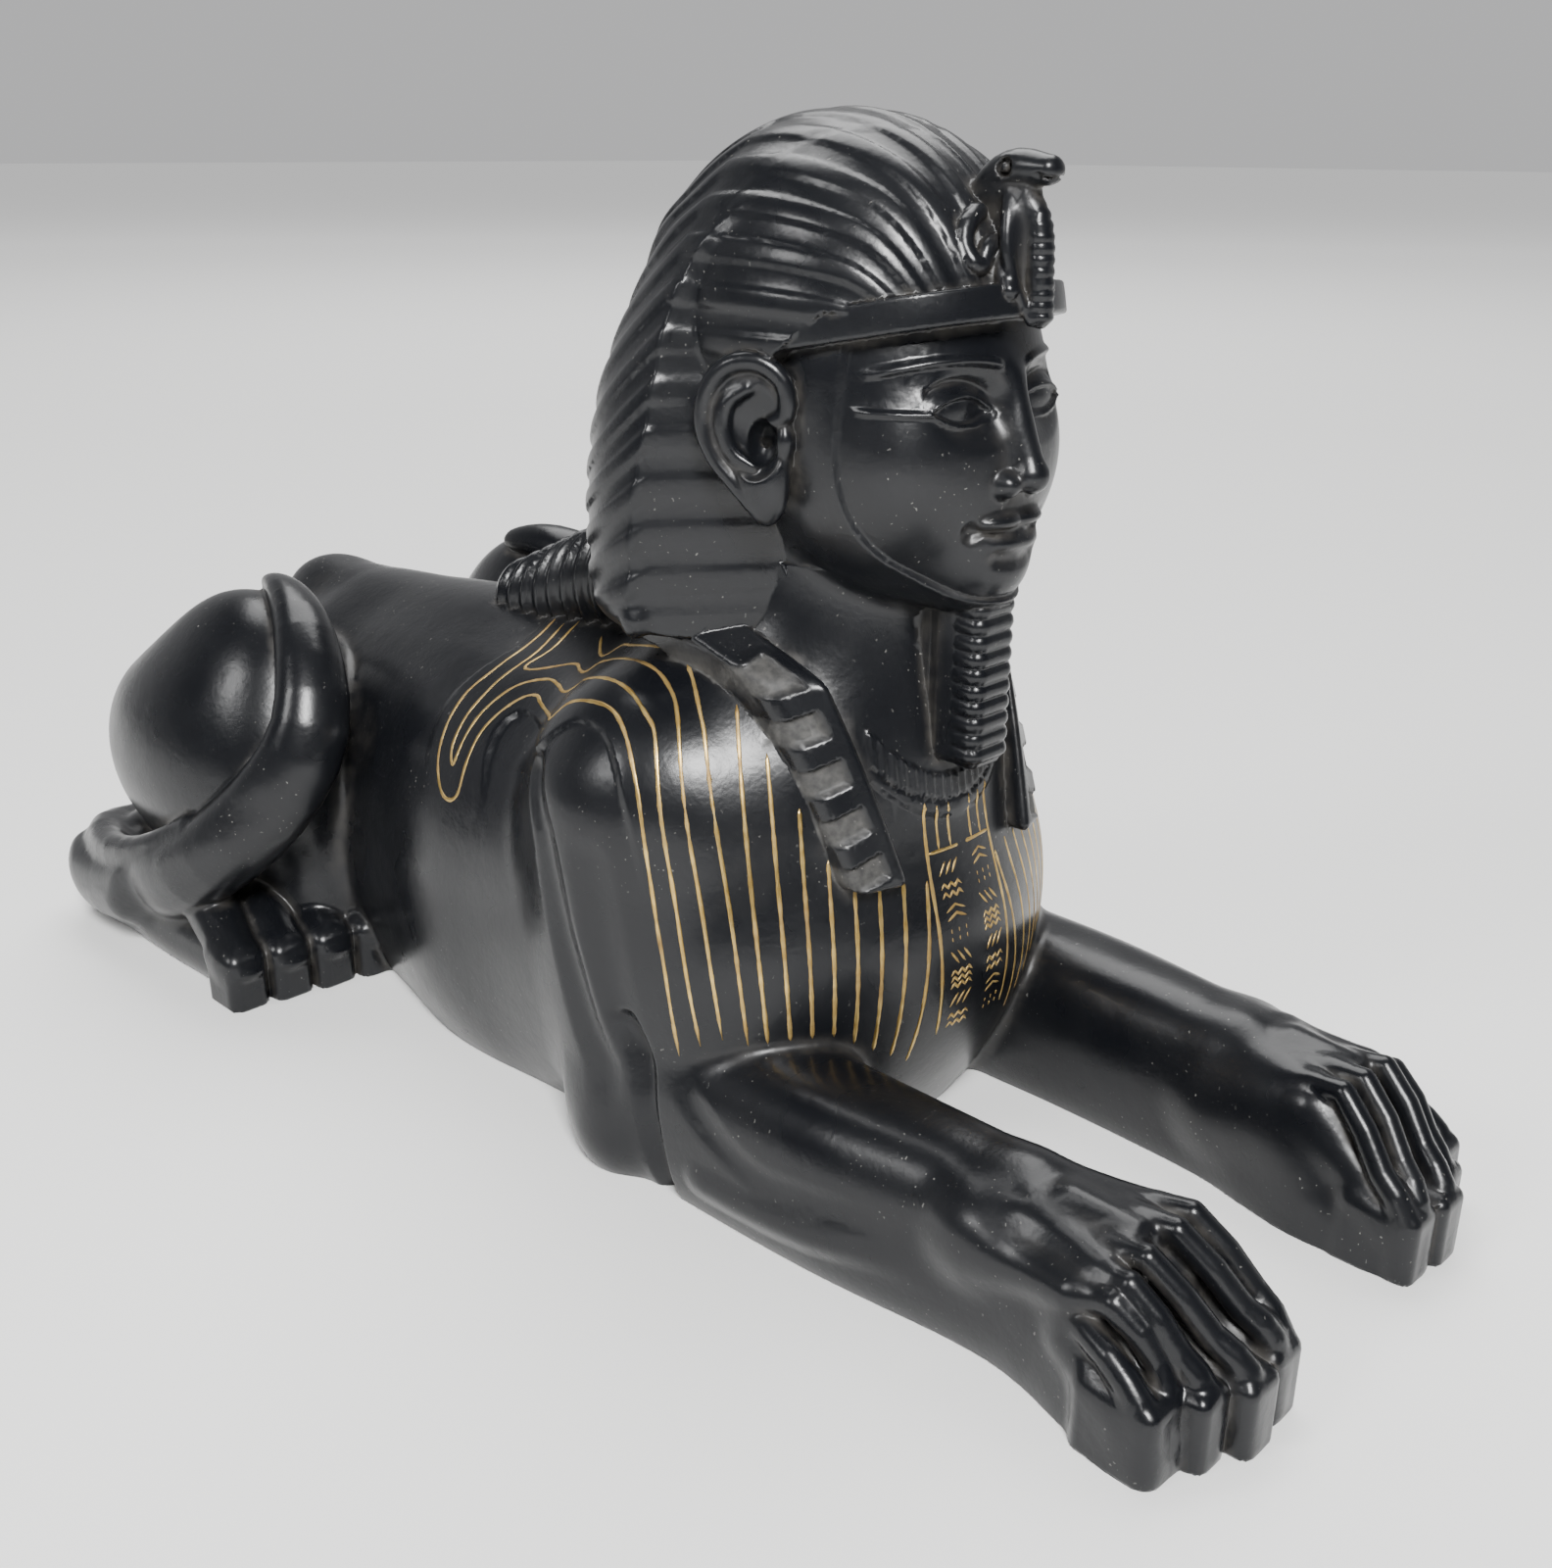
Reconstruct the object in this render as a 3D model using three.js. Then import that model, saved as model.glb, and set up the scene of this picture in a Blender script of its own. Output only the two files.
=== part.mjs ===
// A crouching sphinx in black cast resin: one solid, lying on its own flat underside.
// It faces -Y, its left side is +X, and the ground is z = 0. Every size is in millimetres.
import * as THREE from 'three';
import { triTable } from 'three/addons/objects/MarchingCubes.js';
import { mergeVertices } from 'three/addons/utils/BufferGeometryUtils.js';

// ---- Driving dimensions ----
const MIDDLE_Y = 11.7;          // middle of the statue's length, where its origin is put
const RUMP_Y = 172;             // back of the rump
const CHEST = { y: -20, z: 42, wide: 56, deep: 55, tall: 51 };
const PAW_FRONT_Y = -163.5;     // front of the longest toe
const HIND_TOES = 4;
const HEAD = { y: -46, z: 156, wide: 28.5, deep: 30, tall: 35 };
const EYE_X = 11.3;             // middle of an eye, and the height of both
const EYE_Z = 155.5;
const NEMES_TOP = 205;          // highest point of the headcloth
const NEMES_WING_X = 47;        // widest point of the headcloth
const PLEAT_PITCH = 8.75;       // pleats of the headcloth, measured down it
const PLEAT_MIDDLE = 0.9;       // middle of a raised pleat, above the axis of the crown
const LAPPET = { top: 120, foot: 66 };
const BAR_PITCH = 9.0;          // bars across a lappet
const QUEUE_RIBS = 8;           // wraps round the tail of the headcloth
const GRID_STEP = 1.7;          // spacing of the grid that the surface is drawn on
const MAX_TRIANGLES = 9800;
const FINE_ABOVE = 100;         // the head and headcloth keep smaller facets than the body
const FINE_WEIGHT = 8;

const { clamp, lerp, smoothstep } = THREE.MathUtils;

// ---- Distance functions ----
const blend = (a, b, k) => {
  const h = Math.max(k - Math.abs(a - b), 0) / k;
  return Math.min(a, b) - h * h * k / 4;
};
const overlap = (a, b, k) => -blend(-a, -b, k);
const carve = (a, b, k) => -blend(-a, b, k);

const ellipsoid = (x, y, z, cx, cy, cz, rx, ry, rz) => {
  const u = (x - cx) / rx;
  const v = (y - cy) / ry;
  const w = (z - cz) / rz;
  const k0 = Math.hypot(u, v, w);
  const k1 = Math.hypot(u / rx, v / ry, w / rz);
  return k1 < 1e-9 ? -Math.min(rx, ry, rz) : k0 * (k0 - 1) / k1;
};

const limb = (x, y, z, ax, ay, az, bx, by, bz, ra, rb) => {
  const dx = bx - ax;
  const dy = by - ay;
  const dz = bz - az;
  const t = clamp(((x - ax) * dx + (y - ay) * dy + (z - az) * dz) / (dx * dx + dy * dy + dz * dz), 0, 1);
  return Math.hypot(x - ax - t * dx, y - ay - t * dy, z - az - t * dz) - lerp(ra, rb, t);
};

const box = (x, y, z, cx, cy, cz, hx, hy, hz, r) => {
  const qx = Math.abs(x - cx) - hx + r;
  const qy = Math.abs(y - cy) - hy + r;
  const qz = Math.abs(z - cz) - hz + r;
  const outside = Math.hypot(Math.max(qx, 0), Math.max(qy, 0), Math.max(qz, 0));
  return outside + Math.min(Math.max(qx, qy, qz), 0) - r;
};

// Smooth value of a list of [position, value...] stations at one position.
const station = (list, t, k) => {
  const last = list.length - 1;
  if (t <= list[0][0]) return list[0][k];
  if (t >= list[last][0]) return list[last][k];
  let i = 1;
  while (t > list[i][0]) i += 1;
  const [t0, t1] = [list[i - 1][0], list[i][0]];
  const slope = (n) => {
    const [lo, hi] = [Math.max(n - 1, 0), Math.min(n + 1, last)];
    return (list[hi][k] - list[lo][k]) / (list[hi][0] - list[lo][0]) * (t1 - t0);
  };
  const s = (t - t0) / (t1 - t0);
  const ease = s * s * (3 - 2 * s);
  const bend = s * (1 - s) * ((1 - s) * slope(i - 1) - s * slope(i));
  return lerp(list[i - 1][k], list[i][k], ease) + bend;
};

// A tube with an oval section whose middle and half sizes follow stations along one axis.
const loft = (u, v, t, list, n) => {
  const du = (u - station(list, t, 1)) / station(list, t, 3);
  const dv = (v - station(list, t, 2)) / station(list, t, 4);
  const a = Math.abs(du);
  const b = Math.abs(dv);
  const k = Math.pow(Math.pow(a, n) + Math.pow(b, n), 1 / n) + 1e-9;
  const ga = Math.pow(a / k, n - 1) / station(list, t, 3);
  const gb = Math.pow(b / k, n - 1) / station(list, t, 4);
  return (k - 1) / Math.hypot(ga, gb);
};

// A tube of changing radius through a list of [x, y, z, radius] points.
function sweep(points) {
  const curve = new THREE.CatmullRomCurve3(points.map((p) => new THREE.Vector3(p[0], p[1], p[2])));
  const count = points.length - 1;
  const steps = count * 3;
  const nodes = [];
  for (let i = 0; i <= steps; i += 1) {
    const at = i / 3;
    const k = Math.min(Math.floor(at), count - 1);
    const p = curve.getPoint(i / steps);
    nodes.push([p.x, p.y, p.z, lerp(points[k][3], points[k + 1][3], at - k)]);
  }
  return (x, y, z) => {
    let d = 1e9;
    for (let i = 1; i < nodes.length; i += 1) {
      const a = nodes[i - 1];
      const b = nodes[i];
      d = Math.min(d, limb(x, y, z, a[0], a[1], a[2], b[0], b[1], b[2], a[3], b[3]));
    }
    return d;
  };
}

// ---- Body ----
// Stations along the body: y, section middle x and z, half width, half height.
const TRUNK = [
  [-40, 0, 40, 50, 50],
  [0, 0, 37, 54, 58],
  [40, 0, 34, 56, 58],
  [80, 0, 34, 47, 57],
  [120, 0, 34, 42, 52],
  [160, 0, 34, 38, 44],
];

function trunk(x, y, z) {
  const tube = loft(x, z, y, TRUNK, 2.4);
  const ends = Math.max(-52 - y, y - 150);
  const rump = ellipsoid(x, y, z, 0, 136, 38, 48, RUMP_Y - 136, 42);
  const chest = ellipsoid(x, y, z, 0, CHEST.y, CHEST.z, CHEST.wide, CHEST.deep, CHEST.tall);
  const breast = ellipsoid(x, y, z, 0, -22, 82, 50, 37, 30);
  const spine = limb(x, y, z, 0, 10, 84, 0, 140, 79, 12, 7);
  const sacrum = ellipsoid(x, y, z, 0, 160, 76, 14, 15, 13);
  let d = overlap(tube, ends, 20);
  d = blend(d, rump, 16);
  d = blend(d, chest, 20);
  d = blend(d, breast, 12);
  d = blend(d, spine, 14);
  return blend(d, sacrum, 12);
}

function shoulder(x, y, z) {
  const deltoid = ellipsoid(x, y, z, 40, -18, 72, 19, 26, 26);
  const upperArm = limb(x, y, z, 45, -18, 76, 47, -22, 18, 14, 12);
  const elbow = ellipsoid(x, y, z, 49, -26, 10, 12, 13, 15);
  return blend(blend(deltoid, upperArm, 12), elbow, 8);
}

// Stations along a foreleg: y, section middle x and z, half width, half height.
const FORELEG = [
  [-162, 38.5, 0, 17.5, 8],
  [-150, 39, 2, 18, 13],
  [-138, 37.5, 5, 17, 22],
  [-126, 37, 10, 15, 21],
  [-112, 38, 13, 14, 21],
  [-80, 40.5, 14, 16, 21],
  [-50, 41, 14, 17, 21],
  [-20, 42, 15, 17, 20],
];

function foreleg(x, y, z) {
  const tube = loft(x, z, y, FORELEG, 2.5);
  const ends = Math.max(PAW_FRONT_Y + 8 - y, y + 12);
  const knobs = Math.min(
    ellipsoid(x, y, z, 46, -113, 23, 8, 9, 8),
    ellipsoid(x, y, z, 36, -116, 26, 7, 9, 7),
    ellipsoid(x, y, z, 28, -117, 16, 6, 9, 8),
    ellipsoid(x, y, z, 31, -132, 21, 9, 15, 11.5),
    limb(x, y, z, 44, -122, 29, 46, -137, 28, 3, 3),
    limb(x, y, z, 38.5, -126, 31, 38, -138, 31, 2.6, 2.6),
    limb(x, y, z, 49, -120, 23, 50.5, -134, 24, 3, 3),
  );
  return blend(overlap(tube, ends, 6), knobs, 5);
}

// Ridges over the toes from the outer side in: points of [x, y, z, radius].
const TOE_RIDGES = [
  [
    [52.6, -128, 16, 2.6], [53, -140, 21, 2.8], [54, -148, 16.4, 2.8],
    [54.2, -152, 11, 3], [54.2, -152.6, 2, 3],
  ],
  [
    [48.6, -130, 21, 2.6], [49.6, -142, 25.4, 3], [48, -150, 17.4, 2.6],
    [49, -152.6, 11, 3], [49, -153, 2, 3],
  ],
  [
    [46, -130, 24, 2.6], [47, -143, 28, 2.8], [45, -152, 18.4, 2.6],
    [43.6, -156.4, 13, 2.8], [43.6, -157, 2, 3],
  ],
  [
    [41, -130, 27, 2.6], [42.2, -143, 30.6, 2.8], [38.6, -154, 19.4, 2.7],
    [36.4, -159.4, 14.4, 2.8], [36.2, -160.4, 2, 3],
  ],
  [
    [33.6, -130, 29, 2.6], [33.4, -143, 31.4, 2.8], [29.4, -154, 20, 2.7],
    [27, -158.6, 15, 2.8], [27, -159.4, 2, 3],
  ],
  [
    [28, -130, 28, 2.6], [27, -142, 31, 2.8], [23.6, -153, 19.6, 2.7],
    [23.4, -158, 14, 2.8], [23.6, -158.6, 2, 3],
  ],
].map((points) => sweep(points));

// Toes of a forepaw: middle x, half width, height behind, and how far each stops short.
const TOES = [
  [52.4, 4.6, 14, 8],
  [44, 4.4, 19, 3.8],
  [35.4, 4.9, 22, 0],
  [25.8, 5, 22, 1.2],
];

function toes(x, y, z) {
  let d = 1e3;
  for (const [toeX, half, rise, short] of TOES) {
    const frontY = PAW_FRONT_Y + short;
    const pad = box(x, y, z, toeX, frontY + 8, 4, half, 8, 10.5, 3);
    const core = limb(x, y, z, toeX + 1.5, -136, rise, toeX, frontY + 7, 8.5, 5.5, 4.6);
    d = blend(d, blend(pad, core, 3), 0.5);
  }
  return TOE_RIDGES.reduce((sum, ridge) => blend(sum, ridge(x, y, z), 1.2), d);
}

// ---- Hindquarters ----
// The lower hind leg and, above the knee, the fold of the thigh that runs on from it.
const SHANK = sweep([
  [75, 172, 12, 10.5], [76.5, 142, 17, 11], [74, 113, 30, 10.6], [65.5, 90, 50, 10.2],
  [56, 83, 69, 9.2], [47.5, 95.5, 87, 7.6], [41, 112, 94.5, 6], [36.5, 126, 95.5, 4.8],
]);

const TAIL = sweep([
  [0, 178, 30, 6], [-30, 181, 20, 6], [-55, 180, 18, 5.5], [-71, 171, 22, 5],
  [-79, 151, 25, 4.4], [-80, 130, 31, 3.8], [-76, 110, 42, 3],
]);

function haunch(x, y, z) {
  const thigh = ellipsoid(x, y, z, 53, 131, 50, 25, 44, 31);
  const crest = ellipsoid(x, y, z, 47, 123, 66, 20.5, 31, 27.5);
  const low = 10 * (1 - smoothstep(z, 28, 54)) + 20 * smoothstep(y, 128, 150);
  const envelope = ellipsoid(x, y, z, 50, 117, 52, 31, 46, 49) - low;
  const heel = limb(x, y, z, 72, 168, 8, 68, 104, 6, 9, 10);
  const seat = ellipsoid(x, y, z, 38, 162, 12, 40, 20, 21);
  const web = ellipsoid(x, y, z, 46, 108, 14, 14, 18, 36);
  const sole = ellipsoid(x, y, z, 52, 128, 4, 22, 30, 16);
  let d = blend(thigh, crest, 10);
  d = blend(d, overlap(SHANK(x, y, z), envelope, 5), 2.5);
  d = blend(d, heel, 3);
  d = blend(d, seat, 8);
  d = blend(d, web, 8);
  return blend(d, sole, 6);
}

function hindToes(x, y, z) {
  let d = 1e3;
  for (let i = 0; i < HIND_TOES; i += 1) {
    const toeX = 76 - i * 11;
    const frontY = 90 - i * 2;
    const back = limb(x, y, z, toeX - 4, 111, 18, toeX - 0.5, frontY + 5, 11.5, 7, 5.8);
    const front = box(x, y, z, toeX, frontY + 5, 5, 5.2, 7, 9.5, 3);
    d = blend(d, blend(back, front, 3), 1);
  }
  return d;
}

// ---- Neck and head ----
function neck(x, y, z) {
  return limb(x, y, z, 0, -37, 132, 0, -33, 72, 22, 27);
}

function head(x, y, z) {
  const skull = ellipsoid(x, y, z, 0, HEAD.y, HEAD.z, HEAD.wide, HEAD.deep, HEAD.tall);
  const jaw = ellipsoid(x, y, z, 0, -54, 138, 23, 22, 19);
  const chin = ellipsoid(x, y, z, 0, -70, 126, 8, 7.5, 7);
  const cheek = ellipsoid(x, y, z, 14, -62, 146, 10, 9.5, 12);
  return blend(blend(blend(skull, jaw, 12), chin, 10), cheek, 8);
}

// Calm, evenly proportioned features: brow, eyes, nose and mouth a third of the face apart.
function face(x, y, z) {
  const socket = ellipsoid(x, y, z, EYE_X, -79, EYE_Z, 8, 6, 4.6);
  const brow = limb(x, y, z, 4, -75.5, EYE_Z + 6, 18, -69, EYE_Z + 5.5, 1.5, 1.1);
  const eyeball = ellipsoid(x, y, z, EYE_X, -68.5, EYE_Z, 5.8, 5.8, 3.9);
  const bridge = limb(x, y, z, 0, -75, EYE_Z + 4, 0, -80.3, 143.6, 1.8, 3.1);
  const nostril = ellipsoid(x, y, z, 3.9, -77, 142.2, 2.5, 3.4, 2.4);
  const lips = Math.min(
    ellipsoid(x, y, z, 0, -74, 135.2, 8.6, 4.6, 1.9),
    ellipsoid(x, y, z, 0, -73.6, 132, 7.2, 5, 2.2),
  );
  let d = blend(head(x, y, z), brow, 4);
  d = carve(d, socket, 4);
  d = blend(d, eyeball, 0.8);
  d = blend(d, bridge, 4);
  d = blend(d, nostril, 1.5);
  return blend(d, lips, 1.5);
}

function ear(x, y, z) {
  const u = (x - 33) * 0.85 - (y + 42) * 0.53;
  const v = (x - 33) * 0.53 + (y + 42) * 0.85;
  const shell = ellipsoid(u, v, z, 0, 0, 153, 4, 9, 11);
  const lobe = ellipsoid(u, v, z, 0, -2, 143, 3.5, 5, 7);
  const bowl = ellipsoid(u, v, z, 4, -1, 152, 3.5, 5.5, 7.5);
  return carve(blend(shell, lobe, 5), bowl, 2);
}

function beard(x, y, z) {
  const rib = 0.6 * Math.cos((z - 88) / 3.4 * Math.PI * 2) * smoothstep(-y, 69, 71);
  const rod = box(x, y, z, 0, -69, 104, 5.6, 6, 17, 2.5) - rib;
  const web = box(x, y, z, 0, -60, 104, 5, 9, 16.5, 1);
  return blend(rod, web, 1);
}

// ---- Headcloth ----
// Stations up the headcloth: z, section middle x and y, half width, half depth.
const NEMES = [
  [104, 0, -18, 38, 20],
  [113, 0, -20, 46, 28],
  [124, 0, -20.5, 46, 33.2],
  [140, 0, -20.8, 45, 34.4],
  [158, 0, -22, 41.5, 32.6],
  [178, 0, -30, 35, 33],
  [192, 0, -33, 26, 30],
  [205, 0, -34, 8, 12],
];

// Height along the cloth that the pleats follow: level on the wings, fanned over the
// crown and falling towards the tail of the cloth behind.
function pleat(x, y, z) {
  const axisZ = 165 - 0.045 * Math.max(-57 - y, 0) ** 2;
  const level = z < axisZ ? z - axisZ : 38.6 * Math.atan2(z - axisZ, Math.max(x, 0.1));
  const fall = lerp(0.45, 0.86, clamp((z - 115) / 35, 0, 1)) * Math.max(0, y + 25);
  return level + fall;
}

function nemes(x, y, z) {
  const cloth = loft(x, y, z, NEMES, 2);
  const dome = ellipsoid(x, y, z, 0, -35, 168, 34.5, 41, NEMES_TOP - 168);
  const ends = Math.max(110 - z, z - 186);
  const front = -22 - 0.76 * (NEMES_WING_X - x) - y + 3 * smoothstep(z, 148, 176);
  const corner = ellipsoid(x, y, z, 43.8, -21.8, 114, 2.7, 2.7, 3.4);
  let d = overlap(cloth, ends, 8);
  d = overlap(d, front, 1);
  d = blend(d, corner, 1.5);
  d = blend(d, dome, lerp(1, 6, smoothstep(z, 174, 188)));
  const wave = Math.cos((pleat(x, y, z) - PLEAT_MIDDLE) / PLEAT_PITCH * Math.PI * 2);
  d -= 0.45 * clamp(wave * 1.6, -1, 1) * smoothstep(z, 114, 118);
  const opening = Math.max(z - 172, y + 46 + 1.1 * Math.max(z - 163, 0));
  return Math.max(d, -opening);
}

// The band across the brow, a little higher in front than at the temples.
function browBand(x, y, z) {
  const dome = ellipsoid(x, y, z, 0, -36, 166, 36, 43, 40) + 2.4 * smoothstep(x, 19, 32);
  const rise = z - 174.2 + 0.2 * (y + 78);
  return overlap(dome, Math.max(Math.abs(rise) - 3, y + 48), 1);
}

function queue(x, y, z) {
  const t = clamp((y - 22) / 48, 0, 1);
  const rib = 0.8 * Math.cos(t * QUEUE_RIBS * Math.PI * 2);
  return limb(x, y, z, 0, 12, 112, 0, 66, 94.5, 15, 9) - rib;
}

// A strip of the cloth that leaves the wing, wraps the collar bone and lies on the chest.
function lappet(x, y, z) {
  const t = clamp((LAPPET.top - z) / (LAPPET.top - LAPPET.foot), 0, 1);
  const innerX = lerp(29, 18.3, t);
  const outerX = lerp(38, 29, t);
  const midX = (innerX + outerX) / 2;
  const wrap = lerp(1.7, 0.35, Math.pow(t, 0.6));
  const frontY = -45.3 - 26.5 * Math.pow(t, 0.62) + wrap * (x - innerX);
  const depth = (y - frontY) / Math.hypot(1, wrap);
  const half = (outerX - innerX) / 2;
  const along = z + 0.38 * (x - midX) - LAPPET.foot;
  const inside = smoothstep(half - Math.abs(x - midX), 1.2, 2.2) * smoothstep(along, 2.5, 3.5);
  const bar = 0.7 * smoothstep(Math.cos((along / BAR_PITCH - 0.5) * Math.PI * 2), -0.4, 0.4) * inside;
  const back = lerp(11, 5, t);
  return box(x - midX, depth - back, z, 0, 0, 94, half, back - bar, 28, 2);
}

function uraeus(x, y, z) {
  const hood = limb(x * 0.6, y, z, 0, -79.3, 175, 0, -77.5, 188, 3.4, 2.8);
  const serpent = limb(x, y, z, 0, -68, 191.3, 0, -79.6, 194.2, 3.2, 2.8);
  const coil = limb(x, y, z, 4, -69, 186, 4.5, -73, 179, 2.6, 2.6);
  const web = box(x, y, z, 0, -70, 183, 2.4, 8, 10, 1);
  return blend(blend(blend(hood, serpent, 3), coil, 2), web, 2);
}

// ---- The whole figure ----
function figure(xs, y, z) {
  const x = Math.abs(xs);
  let d = trunk(x, y, z);
  d = blend(d, shoulder(x, y, z), 10);
  d = blend(d, neck(x, y, z), 16);
  d = blend(d, foreleg(x, y, z), 5);
  if (y < -110) d = blend(d, toes(x, y, z), 2);
  if (y > 60) {
    d = blend(d, haunch(x, y, z), 6);
    d = blend(d, hindToes(x, y, z), 2);
    d = blend(d, TAIL(xs, y, z), 3);
  }
  if (z > 60 && y < 90) {
    d = blend(d, face(x, y, z), 3);
    d = Math.min(d, nemes(x, y, z));
    d = Math.min(d, ear(x, y, z));
    d = Math.min(d, browBand(x, y, z));
    d = Math.min(d, lappet(x, y, z));
    d = Math.min(d, queue(x, y, z));
    d = Math.min(d, beard(x, y, z));
    d = Math.min(d, uraeus(x, y, z));
  }
  return Math.max(d, -z);
}

// ---- From the distance function to a faceted surface ----
const REACH = { x: 92, back: RUMP_Y + 26, front: PAW_FRONT_Y - 8, top: NEMES_TOP + 7 };

// Distances at the corners of a regular grid, worked out in full only near the surface.
function sampleGrid(step) {
  const origin = [-REACH.x, REACH.front, -1.1 * step];
  const size = [REACH.x, REACH.back, REACH.top].map((hi, i) => Math.ceil((hi - origin[i]) / step) + 1);
  const values = new Float32Array(size[0] * size[1] * size[2]);
  const at = (i, j, k) => (k * size[1] + j) * size[0] + i;
  const block = 4;
  const margin = block * step + 6;
  for (let k = 0; k < size[2]; k += block) {
    for (let j = 0; j < size[1]; j += block) {
      for (let i = 0; i < size[0]; i += block) {
        const centre = [i, j, k].map((n, axis) => origin[axis] + (n + block / 2) * step);
        const far = figure(...centre);
        for (let c = k; c < Math.min(k + block, size[2]); c += 1) {
          for (let b = j; b < Math.min(j + block, size[1]); b += 1) {
            for (let a = i; a < Math.min(i + block, size[0]); a += 1) {
              values[at(a, b, c)] = Math.abs(far) > margin
                ? far
                : figure(origin[0] + a * step, origin[1] + b * step, origin[2] + c * step);
            }
          }
        }
      }
    }
  }
  return { origin, size, step, values, at };
}

// Cell corners and edges in the order that the marching cubes table uses.
const CORNERS = [
  [0, 0, 0], [1, 0, 0], [0, 1, 0], [1, 1, 0], [0, 0, 1], [1, 0, 1], [0, 1, 1], [1, 1, 1],
];
const EDGES = [
  [0, 1], [1, 3], [2, 3], [0, 2], [4, 5], [5, 7], [6, 7], [4, 6], [0, 4], [1, 5], [3, 7], [2, 6],
];

function marchGrid({ origin, size, step, values, at }) {
  const positions = [];
  const triangles = [];
  const made = new Map();
  const vertex = (cell, edge) => {
    const [p, q] = EDGES[edge].map((c) => CORNERS[c].map((n, axis) => n + cell[axis]));
    const [ip, iq] = [at(...p), at(...q)];
    const key = Math.min(ip, iq) * 3 + p.findIndex((n, axis) => n !== q[axis]);
    if (!made.has(key)) {
      const t = clamp(values[ip] / (values[ip] - values[iq]), 0.04, 0.96);
      made.set(key, positions.length / 3);
      positions.push(...p.map((n, axis) => origin[axis] + step * lerp(n, q[axis], t)));
    }
    return made.get(key);
  };
  for (let k = 0; k < size[2] - 1; k += 1) {
    for (let j = 0; j < size[1] - 1; j += 1) {
      for (let i = 0; i < size[0] - 1; i += 1) {
        let index = 0;
        const order = [0, 1, 3, 2, 4, 5, 7, 6];
        for (let c = 0; c < 8; c += 1) {
          const [a, b, d] = CORNERS[order[c]];
          if (values[at(i + a, j + b, k + d)] < 0) index |= 1 << c;
        }
        for (let n = index * 16; triTable[n] !== -1; n += 3) {
          const [a, b, c] = [0, 1, 2].map((m) => vertex([i, j, k], triTable[n + m]));
          triangles.push(a, c, b);
        }
      }
    }
  }
  return { positions, triangles };
}

// The largest connected shell, without any closed pocket left inside it.
function outerShell({ positions, triangles }) {
  const parent = Array.from({ length: positions.length / 3 }, (_, i) => i);
  const root = (v) => {
    let r = v;
    while (parent[r] !== r) r = parent[r];
    parent[v] = r;
    return r;
  };
  for (let i = 0; i < triangles.length; i += 3) {
    parent[root(triangles[i])] = root(triangles[i + 1]);
    parent[root(triangles[i + 1])] = root(triangles[i + 2]);
  }
  const counts = new Map();
  triangles.forEach((v) => counts.set(root(v), (counts.get(root(v)) || 0) + 1));
  const [largest] = [...counts].sort((a, b) => b[1] - a[1])[0];
  const kept = [];
  for (let i = 0; i < triangles.length; i += 3) {
    if (root(triangles[i]) === largest) kept.push(triangles[i], triangles[i + 1], triangles[i + 2]);
  }
  return { positions, triangles: kept };
}

// ---- Fewer, larger facets where the surface is smooth ----
// Edge collapse driven by the squared distance to the planes that a point has absorbed.
class Heap {
  constructor() {
    this.items = [];
  }

  push(item) {
    const list = this.items;
    let i = list.push(item) - 1;
    while (i > 0) {
      const parent = (i - 1) >> 1;
      if (list[parent].cost <= item.cost) break;
      list[i] = list[parent];
      i = parent;
    }
    list[i] = item;
  }

  pop() {
    const list = this.items;
    const top = list[0];
    const item = list.pop();
    if (list.length === 0) return top;
    let i = 0;
    for (;;) {
      let child = 2 * i + 1;
      if (child >= list.length) break;
      if (child + 1 < list.length && list[child + 1].cost < list[child].cost) child += 1;
      if (list[child].cost >= item.cost) break;
      list[i] = list[child];
      i = child;
    }
    list[i] = item;
    return top;
  }
}

const crossOf = (p, q, r) => {
  const [ax, ay, az] = [q[0] - p[0], q[1] - p[1], q[2] - p[2]];
  const [bx, by, bz] = [r[0] - p[0], r[1] - p[1], r[2] - p[2]];
  return [ay * bz - az * by, az * bx - ax * bz, ax * by - ay * bx];
};

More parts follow.
